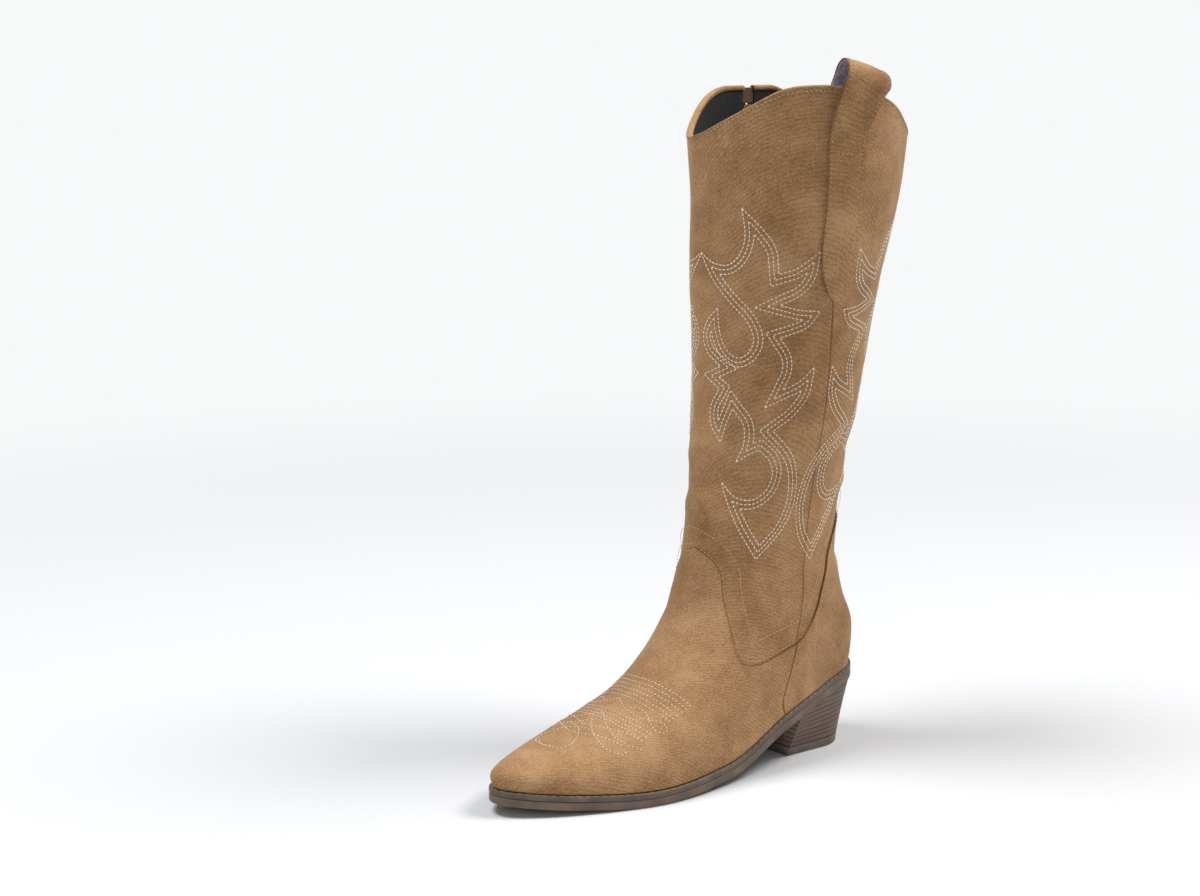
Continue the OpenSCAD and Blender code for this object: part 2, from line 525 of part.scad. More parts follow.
module zip_teeth_back() {
    color([0.36, 0.26, 0.18])
        patch(function(v) zip_back(v, mid_gap / 2), function(v) zip_back(v, mid_gap / 2 + teeth_w), -90, -80,
            function(u) 0.34, function(u) teeth_end, tape_mid + teeth_y, tape_mid + teeth_y + teeth_h, 1, 70);
}
module top_stop(side) {
    on_zip(slider_at) translate([side > 0 ? mid_gap / 2 : -mid_gap / 2 - teeth_w, teeth_y, slider_l / 2 + 1.2])
        cube([teeth_w, teeth_h, 3]);
}
module zip_top_stop_front() {
    color([0.45, 0.34, 0.22]) top_stop(-1);
}
module zip_top_stop_back() {
    color([0.45, 0.34, 0.22]) top_stop(1);
}
module zip_bottom_stop() {
    color([0.45, 0.34, 0.22])
        patch(function(v) zip_front(v, mid_gap / 2 + teeth_w), function(v) zip_back(v, mid_gap / 2 + teeth_w) + 360, 260, 280,
            function(u) 0.12, function(u) 0.31, tape_mid + teeth_y, tape_mid + teeth_y + teeth_h, 2, 1);
}
under_y = -tape_t / 2 - run_gap;
module slider_plate(y, thick) {
    w = slider_w / 2;
    l = slider_l / 2;
    translate([0, y + thick, 0]) rotate([90, 0, 0]) linear_extrude(height = thick)
        polygon([[-w + 1.2, -l], [w - 1.2, -l], [w, -l + 2.5], [w, l - 3], [w - 1.5, l], [-w + 1.5, l], [-w, l - 3], [-w, -l + 2.5]]);
}
module zip_slider() {
    fx = mid_gap / 2 + teeth_w + run_gap;
    color([0.42, 0.32, 0.22]) on_zip(slider_at) {
        slider_plate(plate_y, plate_t);
        slider_plate(under_y - plate_t, plate_t);
        for (s = [-1, 1]) translate([s > 0 ? fx : -slider_w / 2, tape_t / 2 + run_gap, -slider_l / 2 + 2.5])
            cube([slider_w / 2 - fx, plate_y - tape_t / 2 - run_gap + 0.1, slider_l - 5.5]);
        translate([-0.25, under_y - 0.1, slider_l / 2 - 3]) cube([0.5, plate_y - under_y + 0.2, 2.2]);
        translate([0, plate_y + plate_t - 0.05, 0]) rotate([0, 90, 0]) rotate_extrude(angle = 180)
            translate([bail_in, -0.8]) square([0.7, 1.6]);
    }
}
module zip_puller() {
    win = 1.3;
    color([0.42, 0.32, 0.22]) translate(slider_at + bail_y * zip_out) {
        rotate([0, 0, 90]) {
            rotate([0, 90, 0]) translate([0, 0, -puller_w / 2]) cylinder(r = bar_r, h = puller_w);
            difference() {
                translate([0, puller_t / 2, 0]) rotate([90, 0, 0]) linear_extrude(height = puller_t)
                    polygon([[-puller_w / 2, 0], [-puller_w / 2, -puller_l + 1.2], [-puller_w / 2 + 1.2, -puller_l], [puller_w / 2 - 1.2, -puller_l],
                        [puller_w / 2, -puller_l + 1.2], [puller_w / 2, 0]]);
                translate([-win, -puller_t, -4.2]) cube([2 * win, puller_t * 2, 10]);
                translate([-1, -puller_t, -puller_l + 3.2]) cube([2, puller_t * 2, puller_l - 9.6]);
            }
        }
    }
}

outsole();
welt();
heel_block();
heel_top_piece();
heel_screw();
heel_nail_1();
heel_nail_2();
heel_nail_3();
heel_nail_4();
shank();
bottom_filler();
insole_board();
sock_liner();
vamp();
counter();
toe_puff();
counter_stiffener();
vamp_lining();
shaft_front();
shaft_back();
lining_front();
lining_back();
pull_strap();
pull_strap_lining();
zip_tape_front();
zip_tape_back();
zip_teeth_front();
zip_teeth_back();
zip_top_stop_front();
zip_top_stop_back();
zip_bottom_stop();
zip_slider();
zip_puller();
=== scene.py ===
# Left western boot in tan faux suede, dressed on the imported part. Sizes are in millimetres until
# a mesh is made, and in metres from there on. The toe points to -Y and the outer side is +X.
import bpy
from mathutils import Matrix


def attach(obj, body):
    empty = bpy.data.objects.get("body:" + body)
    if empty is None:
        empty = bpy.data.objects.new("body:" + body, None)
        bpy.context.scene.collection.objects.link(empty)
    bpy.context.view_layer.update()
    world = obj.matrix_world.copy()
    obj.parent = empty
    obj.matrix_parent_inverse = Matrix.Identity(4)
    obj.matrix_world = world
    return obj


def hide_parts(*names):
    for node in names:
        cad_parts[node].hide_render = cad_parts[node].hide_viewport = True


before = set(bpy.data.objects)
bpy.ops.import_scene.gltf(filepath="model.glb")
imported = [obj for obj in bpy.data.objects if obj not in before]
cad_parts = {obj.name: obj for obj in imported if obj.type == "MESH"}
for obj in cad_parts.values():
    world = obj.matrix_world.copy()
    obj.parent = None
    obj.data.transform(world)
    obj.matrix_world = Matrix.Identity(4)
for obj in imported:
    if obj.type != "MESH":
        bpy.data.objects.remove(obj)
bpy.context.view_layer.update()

import math

import bpy
import numpy as np
from mathutils import Matrix
from mathutils import Vector
from mathutils.bvhtree import BVHTree


# ---- Insole board, shank, filler, stiffeners and fixings -------------------------------------
# The parts the boot is lasted and nailed on: a pressed fibre board, a steel strip, a cork fill,
# two thermoplastic stiffeners, a screw and four nails. The upper and the sole hide all of them.
def linear(hex_colour):
    parts = [int(hex_colour[i:i + 2], 16) / 255 for i in (1, 3, 5)]
    return [c / 12.92 if c <= 0.04045 else ((c + 0.055) / 1.055) ** 2.4 for c in parts] + [1.0]


def put(mat, kind, settings=None, links=None):
    node = mat.node_tree.nodes.new(kind)
    for name, value in (settings or {}).items():
        if isinstance(value, str) and value.startswith("#"):
            value = linear(value)
        if name in node.inputs:
            node.inputs[name].default_value = value
        else:
            setattr(node, name, value)
    for name, socket in (links or {}).items():
        mat.node_tree.links.new(socket, node.inputs[name])
    return node


def new_material(name):
    mat = bpy.data.materials.new(name)
    mat.use_nodes = True
    mat.node_tree.nodes.clear()
    return mat


# A link that lays a pattern out in the piece's own metres.
def on_object(mat):
    return {"Vector": put(mat, "ShaderNodeTexCoord").outputs["Object"]}


def ramp(mat, factor, stops):
    node = put(mat, "ShaderNodeValToRGB", {}, {"Fac": factor})
    elements = node.color_ramp.elements
    while len(elements) < len(stops):
        elements.new(0.5)
    for element, (place, colour) in zip(elements, stops):
        element.position = place
        element.color = linear(colour)
    return node


def surface_out(mat, colour, bump, settings):
    links = {"Base Color": colour}
    if bump is not None:
        links["Normal"] = bump
    shader = put(mat, "ShaderNodeBsdfPrincipled", settings, links)
    put(mat, "ShaderNodeOutputMaterial", {}, {"Surface": shader.outputs[0]})
    return shader


# Cold-rolled steel strip and wire: grey, drawn along its length, half dull.
drawn_steel = new_material("drawn_steel")
place = on_object(drawn_steel)
along = put(drawn_steel, "ShaderNodeMapping", {"Scale": (900, 60, 900)}, place)
streak = put(drawn_steel, "ShaderNodeTexNoise", {"Scale": 1.0, "Detail": 3.0}, {"Vector": along.outputs[0]})
tint = ramp(drawn_steel, streak.outputs["Fac"], [(0.3, "#8A8C8F"), (0.7, "#B4B6B8")])
surface_out(drawn_steel, tint.outputs[0], None, {"Metallic": 1.0, "Roughness": 0.38})

# Pressed cellulose board: pale brown, flecked with fibres of 2 to 3 mm.
fibre_board = new_material("cellulose_fibre_board")
place = on_object(fibre_board)
fleck = put(fibre_board, "ShaderNodeTexNoise", {"Scale": 420.0, "Detail": 4.0}, place)
tint = ramp(fibre_board, fleck.outputs["Fac"], [(0.35, "#A48C68"), (0.65, "#CBB890")])
grit = put(fibre_board, "ShaderNodeBump", {"Strength": 0.3, "Distance": 0.0003},
           {"Height": fleck.outputs["Fac"]})
surface_out(fibre_board, tint.outputs[0], grit.outputs[0], {"Roughness": 0.85})

# Granulated cork: grains of 2 mm, brown with dark specks.
cork_fill = new_material("granulated_cork")
place = on_object(cork_fill)
grain = put(cork_fill, "ShaderNodeTexVoronoi", {"Scale": 500.0}, place)
tint = ramp(cork_fill, grain.outputs["Distance"], [(0.1, "#A9835A"), (0.8, "#6E4E30")])
grit = put(cork_fill, "ShaderNodeBump", {"Strength": 0.5, "Distance": 0.0004},
           {"Height": grain.outputs["Distance"]})
surface_out(cork_fill, tint.outputs[0], grit.outputs[0], {"Roughness": 0.9})

# Thermoplastic stiffener sheet: off-white, faintly mottled, dull.
stiffener_sheet = new_material("thermoplastic_stiffener_sheet")
place = on_object(stiffener_sheet)
fleck = put(stiffener_sheet, "ShaderNodeTexNoise", {"Scale": 300.0}, place)
tint = ramp(stiffener_sheet, fleck.outputs["Fac"], [(0.3, "#CFCABD"), (0.7, "#E4E0D5")])
surface_out(stiffener_sheet, tint.outputs[0], None, {"Roughness": 0.7})


def dress(node, mat):
    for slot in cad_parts[node].material_slots:
        slot.material = mat


for node in ("shank", "heel_screw", "heel_nail_1", "heel_nail_2", "heel_nail_3", "heel_nail_4"):
    dress(node, drawn_steel)
dress("insole_board", fibre_board)
dress("bottom_filler", cork_fill)
dress("toe_puff", stiffener_sheet)
dress("counter_stiffener", stiffener_sheet)


# ---- Vamp ------------------------------------------------------------------------------------
# The foot's front cover: one piece of 1.4 mm faux suede pulled over the toe and sewn over the
# front of the shaft, its tongue pointing up at the ankle. Its lower edge is held by the welt.
FOOT, BACK, SEAT, ANKLE, RIM = 277.0, 36.0, 45.0, 181.0, 425.0
SEAT_RISE, SOLE, SPRING, TOE_BOX = 8.0, 8.9, 7.0, 20.0
TOE, TOE_TOP = BACK - FOOT, SOLE + SPRING + TOE_BOX
WIDTHS = {"seat": 63.0, "waist": 70.0, "ball": 88.0, "toe": 60.0, "ankle": 79.0, "top": 112.0}


def through(t, xs, ys):
    xs, ys, t = np.array(xs, float), np.array(ys, float), np.asarray(t, float)
    rise = np.diff(ys) / np.diff(xs)
    before, after = rise[:-1], rise[1:]
    same = before * after > 0
    slope = np.empty_like(ys)
    slope[0], slope[-1] = rise[0], rise[-1]
    slope[1:-1] = np.where(same, 2 * before * after / np.where(same, before + after, 1), 0)
    i = np.clip(np.searchsorted(xs, t, "right") - 1, 0, len(xs) - 2)
    w = xs[i + 1] - xs[i]
    f = (t - xs[i]) / w
    y = ys[i] * (1 + 2 * f) * (1 - f) ** 2 + slope[i] * w * f * (1 - f) ** 2
    y = y + ys[i + 1] * f * f * (3 - 2 * f) + slope[i + 1] * w * f * f * (f - 1)
    y = np.where(t <= xs[0], ys[0] + (t - xs[0]) * slope[0], y)
    return np.where(t >= xs[-1], ys[-1] + (t - xs[-1]) * slope[-1], y)


def feather(y):
    along = [BACK - q * FOOT for q in (1, 0.874, 0.693, 0.477, 0.296, 0.152, 0)]
    up = [SOLE + SPRING, SOLE + SPRING * 0.44, SOLE, SOLE + (SEAT - SOLE) * 0.12,
          SOLE + (SEAT - SOLE) * 0.69, SEAT, SEAT + SEAT_RISE]
    return through(y, along, up)


def shaft_row(f, length_share, out_share):
    middle, half = BACK - 7 - 56.5 + 13.5 * f, (113 + 39 * length_share) / 2
    height, inner = ANKLE + (RIM - ANKLE) * f, 39.5 - 2.0 * f
    return [middle + half, height, middle - half, height, 1, inner + 37 * out_share, inner]


def blend(a, b, t):
    return a + (b - a) * t


aw = WIDTHS["ankle"]
ROWS = np.array([
    [BACK, SEAT + SEAT_RISE, TOE, SOLE + SPRING, 0, aw * 0.45, aw * 0.45],
    [BACK + 2, SEAT + SEAT_RISE + 12, TOE + 1.5, TOE_TOP - TOE_BOX / 2, 0, aw * 0.45, aw * 0.45],
    [BACK + 1.5, SEAT + SEAT_RISE + 30, TOE + FOOT * 0.134, TOE_TOP, 0.1, aw * 0.455, aw * 0.468],
    [BACK - 6, SEAT + SEAT_RISE + 48, TOE + FOOT * 0.313, blend(TOE_TOP, ANKLE, 0.09), 0.33, aw * 0.443,
     aw * 0.475],
    [BACK - 10.5, SEAT + SEAT_RISE + 66, TOE + FOOT * 0.452, blend(TOE_TOP, ANKLE, 0.31), 0.6, aw * 0.437,
     aw * 0.468],
    [BACK - 13, blend(SEAT, ANKLE, 0.69), TOE + FOOT * 0.53, blend(TOE_TOP, ANKLE, 0.587), 0.85, aw * 0.437,
     aw * 0.481],
    shaft_row(0, 0, 0),
    shaft_row(0.232, 0.07, 0.42),
    shaft_row(0.527, 0.43, 0.74),
    shaft_row(0.78, 0.7, 1.08),
    shaft_row(1, 1, 1)])
ALL_ROWS = np.vstack([2 * ROWS[0] - ROWS[1], ROWS, 2 * ROWS[10] - ROWS[9]])
HALF_AT = [0, 0.14, 0.42, 0.68, 0.86, 1]
OUTER_HALF = [63, 63 * 0.74, 70 * 0.62, 88 * 0.57, 60 * 0.741, 60 * 0.592]
INNER_HALF = [63 * 0.97, 63 * 0.71, 70 * 0.4, 88 * 0.507, 60 * 0.704, 60 * 0.555]


# How far the rim drops in front (29 mm) and behind (32 mm), as a share at angles round the boot.
RIM_ANGLES = [0, 20, 35, 48, 55, 60, 66, 73, 80.5, 90, 100, 116, 126, 134, 142, 150, 158, 166, 176, 183,
              190, 200, 212, 221,
              230, 240, 249, 256, 284, 290, 296, 301, 306, 313, 325, 340, 360]
RIM_SHARES = [1, 0.97, 0.91, 0.81, 0.68, 0.57, 0.41, 0.265, 0.155, 0.055, -0.03, -0.09, -0.07, 0, 0.16,
              0.345, 0.53, 0.71, 0.91, 0.98,
              1, 0.93, 0.745, 0.555, 0.345, 0.155, 0.04, 0, 0, 0.06, 0.21, 0.4, 0.58, 0.77, 0.91, 0.97, 1]


# The upper before its creases: u turns round the boot in degrees, 0 at the heel's back, 90 on
# the outer side and 180 in front, and v climbs from 0 at the sole through 6 at the ankle to 10.
def upper(u, v):
    u, v = np.broadcast_arrays(np.asarray(u, float), np.asarray(v, float))
    i = np.clip(np.floor(v).astype(int), 0, 9)
    f = (v - i)[..., None]
    a, b, c, d = ALL_ROWS[i], ALL_ROWS[i + 1], ALL_ROWS[i + 2], ALL_ROWS[i + 3 - (i > 9)]
    r = 0.5 * (2 * b + (c - a) * f + (2 * a - 5 * b + 4 * c - d) * f ** 2
               + (3 * b - a - 3 * c + d) * f ** 3)
    side, ahead = np.sin(np.radians(u)), np.cos(np.radians(u))
    t, own = (1 - ahead) / 2, r[..., 4]
    y = blend(r[..., 0], r[..., 2], t)
    share = np.clip((BACK - y) / FOOT, 0, 1)
    outer = blend(through(share, HALF_AT, OUTER_HALF), r[..., 5], own)
    inner = blend(through(share, HALF_AT, INNER_HALF), r[..., 6], own)
    width = np.where(side >= 0, outer, inner)
    bulge = 1 + own * np.sin(2 * np.radians(u)) ** 2 * np.where(ahead > 0, 0.01, -0.03)
    middle = (r[..., 0] + r[..., 2]) / 2
    low_back, low_front = feather(np.minimum(r[..., 0], BACK)), feather(np.maximum(r[..., 2], TOE))
    low = feather(np.clip(y, TOE, BACK))
    angle = np.mod(u, 360)
    dip = np.where((angle > 92) & (angle < 270), 29.0, 32.0) * through(angle, RIM_ANGLES, RIM_SHARES)
    z = r[..., 1] + (r[..., 3] - r[..., 1] - (1 - own) * (low_front - low_back)) * t
    z = z + (1 - own) * (low - low_back) - np.where(v > 8, dip * ((v - 8) / 2) ** 2, 0)
    return np.stack([side * width * bulge, middle + (y - middle) * bulge, z], -1)


def outward(u, v):
    n = np.cross(upper(u, v + 0.01) - upper(u, v - 0.01), upper(u + 0.2, v) - upper(u - 0.2, v))
    return n / np.linalg.norm(n, axis=-1, keepdims=True)


# Creases a worn-in shaft takes: where along u and v each lies, how far it reaches, its slant
# and its depth in millimetres. They fade out round the zip, which lies flat.
CREASES = [(182, 5.72, 52, 0.10, 0.0016, 1.3), (172, 5.98, 46, 0.09, -0.0025, -1.1),
           (150, 6.25, 34, 0.10, 0.004, 0.8),
           (205, 6.3, 30, 0.1, -0.004, 0.8), (6, 5.86, 46, 0.12, 0.0012, 2.3),
           (14, 6.22, 40, 0.11, 0.004, -1.5),
           (-20, 6.6, 36, 0.12, -0.004, 0.9), (40, 6.7, 34, 0.14, 0.005, 0.8),
           (182, 4.5, 46, 0.16, 0.0, -0.9),
           (120, 5.1, 22, 0.16, 0.010, -0.6), (30, 4.6, 22, 0.2, 0.006, -0.6),
           (60, 3.9, 16, 0.3, 0.0, -0.5)]


def creases(u, v):
    u, v = np.broadcast_arrays(np.asarray(u, float), np.asarray(v, float))
    a = np.radians(u)
    shaft = np.clip((v - 5.6) / 1.2, 0, 1)
    lift = shaft * (0.45 * np.sin(2 * a + 1.9 * v) + 0.35 * np.sin(5 * a - 2.7 * v + 1)
                    + 0.3 * np.sin(3 * a + 4.1 * v + 2))
    lift = lift + 0.18 * np.sin(9 * a + 3.3 * v) * shaft
    for u0, v0, reach_u, reach_v, slant, depth in CREASES:
        turn = (u - u0 + 180) % 360 - 180
        lift = lift + depth * np.exp(-(turn / reach_u) ** 2 - ((v - v0 - slant * turn) / reach_v) ** 2)
    zip_turn = np.where(v > 5.2, u - 270, 99)
    return lift * (1 - np.exp(-(zip_turn / 20.0) ** 2)) * np.clip(1.0 - (v - 9.2) / 1.4, 0, 1)


def skin(u, v, out):
    u, v = np.broadcast_arrays(np.asarray(u, float), np.asarray(v, float))
    return (upper(u, v) + (np.asarray(out) + creases(u, v))[..., None] * outward(u, v)) / 1000


def degrees_of(mm, u, v):
    return mm / np.linalg.norm(upper(u + 0.5, v) - upper(u - 0.5, v), axis=-1)


def seam_u(v):
    return through(v, [0, 2.4, 5.5, 6.9, 8, 10], [66, 71, 83, 91.5, 100, 104])


def zip_u(v):
    return through(np.clip(v, 0, 10), [0, 0.4, 1.2, 1.9, 2.7, 3.6, 4.4, 5.2, 6, 10],
                   [297, 300, 301, 297.5, 289.5, 278, 271.5, 270, 270, 270])


# Half the opening in the suede, and in the lining, that shows the zip.
SUEDE_OPENING, LINING_OPENING = 4.2, 4.9
LINING_TOP = 9.985


def level(v):
    return lambda u: v + 0 * u


def before_zip(v, mm):
    return zip_u(v) - degrees_of(mm, zip_u(v), v)


def behind_zip(v, mm):
    return zip_u(v) + degrees_of(mm, zip_u(v), v) - 360


def vamp_top(u):
    return through(180 - np.abs(u - 180), [66, 87, 103, 112, 122, 130, 139, 144, 148, 156, 168, 180],
                   [2.75, 2.95, 3.28, 3.55, 3.95, 4.3, 4.67, 4.9, 5.1, 5.23, 5.33, 5.38])


def make_piece(name, points, faces, mat, body="boot", smooth=True):
    mesh = bpy.data.meshes.new(name)
    mesh.from_pydata([tuple(p) for p in points], [], [tuple(f) for f in faces])
    mesh.materials.append(mat)
    mesh.polygons.foreach_set("use_smooth", [smooth] * len(mesh.polygons))
    mesh.update()
    piece = bpy.data.objects.new(name, mesh)
    bpy.context.scene.collection.objects.link(piece)
    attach(piece, body)
    return piece


def shares(count, width, thin):
    edge = [0.0, 0.05 * thin / width, 0.2 * thin / width, 0.5 * thin / width, thin / width]
    middle = list(np.linspace(edge[-1], 1 - edge[-1], count)[1:-1])
    return np.array(edge + middle + [1 - e for e in reversed(edge)])


# A shell of cloth between two depths, cut to u and v edges, with its edges rounded over.
def cut_piece(name, left, right, span, low, high, depth, columns, rows, mat, wide=150.0, tall=150.0):
    middle, thin = (depth[0] + depth[1]) / 2, abs(depth[1] - depth[0]) / 2
    s, t = shares(columns, wide, thin), shares(rows, tall, thin)
    nominal = blend(span[0], span[1], s)[:, None]
    v = blend(low(nominal), high(nominal), t[None, :]) + 0 * nominal
    u = blend(left(v), right(v), s[:, None])
    core = upper(u, v)
    step_u = np.linalg.norm(np.diff(core, axis=0), axis=-1)
    step_v = np.linalg.norm(np.diff(core, axis=1), axis=-1)
    run_u = np.vstack([np.zeros((1, len(t))), np.cumsum(step_u, 0)])
    run_v = np.hstack([np.zeros((len(s), 1)), np.cumsum(step_v, 1)])
    edge = np.minimum(np.minimum(run_u, run_u[-1:] - run_u), np.minimum(run_v, run_v[:, -1:] - run_v))
    half = thin * np.sqrt(1 - (1 - np.clip(edge / thin, 0, 1)) ** 2)
    face, back = skin(u, v, middle + half), skin(u, v, middle - half)
    n, m = face.shape[:2]
    number = np.arange(n * m).reshape(n, m)
    inside = number + n * m
    rim = np.zeros((n, m), bool)
    rim[0], rim[-1], rim[:, 0], rim[:, -1] = True, True, True, True
    inside = np.where(rim, number, inside)
    front = np.stack([number[:-1, :-1], number[:-1, 1:], number[1:, 1:], number[1:, :-1]], -1).reshape(-1,
                                                                                                       4)
    rear = np.stack([inside[:-1, :-1], inside[1:, :-1], inside[1:, 1:], inside[:-1, 1:]], -1).reshape(-1, 4)
    points = np.vstack([face.reshape(-1, 3), back.reshape(-1, 3)])
    faces = np.vstack([front, rear])
    used = np.unique(faces)
    renumber = np.full(len(points), -1)
    renumber[used] = np.arange(len(used))
    piece = make_piece(name, points[used], renumber[faces].tolist(), mat)
    near = np.concatenate([edge.reshape(-1), edge.reshape(-1)])[used]
    layer = piece.data.attributes.new("edge_mm", "FLOAT", "POINT")
    layer.data.foreach_set("value", np.clip(near, 0, 40).astype(np.float32))
    return piece


# Microfibre faux suede: a brushed nap on a twill ground. Soft patches of 50 mm where the nap
# lies one way or the other, a diagonal twill of 1.6 mm and a grain of 1.2 mm, both drawn coarser
# than the real 0.4 mm so that they show. No gloss, only the nap's own sheen.
faux_suede = new_material("microfibre_faux_suede")
place = on_object(faux_suede)
patch = put(faux_suede, "ShaderNodeTexNoise", {"Scale": 17.0, "Detail": 3.0, "Roughness": 0.5,
                                               "Distortion": 0.8},
            place)
smudge = put(faux_suede, "ShaderNodeTexNoise", {"Scale": 85.0, "Detail": 3.0, "Roughness": 0.6},
             place)
grain = put(faux_suede, "ShaderNodeTexNoise", {"Scale": 850.0, "Detail": 2.0, "Roughness": 0.7},
            place)
slanted = put(faux_suede, "ShaderNodeMapping", {"Rotation": (0.6, 0.75, 0.0)}, place)
twill = put(faux_suede, "ShaderNodeTexWave", {"bands_direction": "Z", "Scale": 195.0, "Distortion": 5.0,
                                              "Detail": 2.0, "Detail Scale": 1.5},
            {"Vector": slanted.outputs[0]})
mixed = put(faux_suede, "ShaderNodeMix", {"data_type": "FLOAT", "Factor": 0.34},
            {"A": patch.outputs["Fac"], "B": smudge.outputs["Fac"]})
cloth = put(faux_suede, "ShaderNodeMix", {"data_type": "FLOAT", "Factor": 0.16},
            {"A": grain.outputs["Fac"], "B": twill.outputs["Fac"]})
nap = put(faux_suede, "ShaderNodeMix", {"data_type": "FLOAT", "Factor": 0.42},
          {"A": mixed.outputs[0], "B": cloth.outputs[0]})
tan = ramp(faux_suede, nap.outputs[0], [(0.38, "#82603E"), (0.5, "#A07953"), (0.62, "#BA946B")])
# Within a millimetre of each cut edge the suede is darkened: partly the pressed raw edge, partly painted
# shade in the seams between the panels.
cut = put(faux_suede, "ShaderNodeAttribute", {"attribute_name": "edge_mm"})
edge_press_and_seam_shade = ramp(faux_suede, cut.outputs["Fac"], [(0.0, "#B39C86"), (0.7, "#E6DCD2"), (1.0, "#FFFFFF")])
tone = put(faux_suede, "ShaderNodeMix", {"data_type": "RGBA", "blend_type": "MULTIPLY", "Factor": 0.9})
faux_suede.node_tree.links.new(tan.outputs[0], tone.inputs[6])
faux_suede.node_tree.links.new(edge_press_and_seam_shade.outputs[0], tone.inputs[7])
fuzz = put(faux_suede, "ShaderNodeBump", {"Strength": 0.45, "Distance": 0.0005},
           {"Height": cloth.outputs[0]})
surface_out(faux_suede, tone.outputs[2], fuzz.outputs[0],
            {"Roughness": 0.95, "Specular IOR Level": 0.15, "Sheen Weight": 0.22, "Sheen Roughness": 0.45,
             "Sheen Tint": "#EFD9C0"})

vamp = cut_piece("vamp_suede", lambda v: seam_u(v) + degrees_of(0.04, 70, v),
                 lambda v: before_zip(v, SUEDE_OPENING),
                 (71, 288), level(0.03), vamp_top, (0.1, 1.5), 190, 110, faux_suede, 300, 90)
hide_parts("vamp")


# ---- Toe and edge stitching of the vamp ------------------------------------------------------
# Rows of polyester thread sewn before lasting: two bands of bowed rows across the toe with
# loops and leaves between them, in cream, and two tan rows along the tongue's edge.
# Spun polyester: matt, twisted, each stitch a raised bead about 2 mm long.
def thread(name, dark, light):
    mat = new_material(name)
    place = on_object(mat)
    twist = put(mat, "ShaderNodeTexNoise", {"Scale": 1500.0, "Detail": 2.0}, place)
    tint = ramp(mat, twist.outputs["Fac"], [(0.35, dark), (0.65, light)])
    ply = put(mat, "ShaderNodeBump", {"Strength": 0.4, "Distance": 0.0002},
              {"Height": twist.outputs["Fac"]})
    surface_out(mat, tint.outputs[0], ply.outputs[0], {"Roughness": 0.6, "Sheen Weight": 0.2})
    return mat


cream_thread = thread("cream_polyester_thread", "#DCCDB2", "#FAF2E2")
tan_thread = thread("tan_polyester_thread", "#A27C53", "#CBA67B")
# Painted shade: a dark brown thread colour for short beads sunk at each stitch's ends, standing for the
# shade inside the needle holes.
stitch_hole_shade = thread("painted_stitch_hole_shade", "#4E3621", "#6A4C31")


# Lays stitches of one length along lines of points and normals, each stitch a bead that dips
# into the cloth at both ends.
def sew(name, lines, mat, pitch=2.9, length=2.2, thick=0.28, lift=0.12, phase=0.5):
    points, faces = [], []
    rings = [(-0.5, 0.35, -0.30), (-0.3, 0.9, 0.0), (0.0, 1.0, 0.08), (0.3, 0.9, 0.0), (0.5, 0.35, -0.30)]
    turns = np.radians(np.arange(0, 360, 60))
    for at, normal in lines:
        at, normal = np.asarray(at, float), np.asarray(normal, float)
        run = np.concatenate([[0], np.cumsum(np.linalg.norm(np.diff(at, axis=0), axis=1))]) * 1000
        count = int(round(run[-1] / pitch))
        if count < 1:
            continue
        centres = (np.arange(count) + phase) * run[-1] / count
        c = np.stack([np.interp(centres, run, at[:, k]) for k in range(3)], 1)
        e1 = np.stack([np.interp(centres + length / 2, run, at[:, k]) for k in range(3)], 1)
        e0 = np.stack([np.interp(centres - length / 2, run, at[:, k]) for k in range(3)], 1)
        n = np.stack([np.interp(centres, run, normal[:, k]) for k in range(3)], 1)
        t = (e1 - e0) / np.maximum(np.linalg.norm(e1 - e0, axis=1, keepdims=True), 1e-9)
        n = n - (n * t).sum(1, keepdims=True) * t
        n = n / np.maximum(np.linalg.norm(n, axis=1, keepdims=True), 1e-9)
        b = np.cross(t, n)
        block = []
        for place, size, up in rings:
            for turn in turns:
                across, high = math.cos(turn) * size * thick, math.sin(turn) * size * thick * 0.8
                block.append(c + (t * place * length + b * across + n * (high + up + lift)) / 1000)
        block = np.stack(block, 1)
        for k in range(count):
            start = len(points) * 1 + k * 30
            for ring in range(4):
                for j in range(6):
                    a, d = start + ring * 6 + j, start + ring * 6 + (j + 1) % 6
                    faces.append((a, d, d + 6, a + 6))
            faces.append(tuple(start + j for j in (5, 4, 3, 2, 1, 0)))
            faces.append(tuple(start + 24 + j for j in range(6)))
        points.extend(block.reshape(-1, 3))
    return make_piece(name, points, faces, mat)


# A smooth line through a few given points.
def flow(points, steps=12):
    p = np.array(points, float)
    p = np.vstack([2 * p[0] - p[1], p, 2 * p[-1] - p[-2]])
    f = np.linspace(0, 1, steps, endpoint=False)[:, None]
    parts = []
    for a, b, c, d in zip(p[:-3], p[1:-2], p[2:-1], p[3:]):
        parts.append(0.5 * (2 * b + (c - a) * f + (2 * a - 5 * b + 4 * c - d) * f ** 2
                            + (3 * b - a - 3 * c + d) * f ** 3))
    return np.vstack(parts + [p[-2:-1]])


# Drops a line drawn in plan, x to the outer side and y to the heel, on to the foot's top.
def on_foot(tree, plan):
    at, normal = [], []
    for x, y in plan:
        hit, n, _, _ = tree.ray_cast(Vector((x / 1000, y / 1000, 0.09)), Vector((0, 0, -1)))
        if hit is not None:
            at.append(hit)
            normal.append(n)
    return np.array(at), np.array(normal)


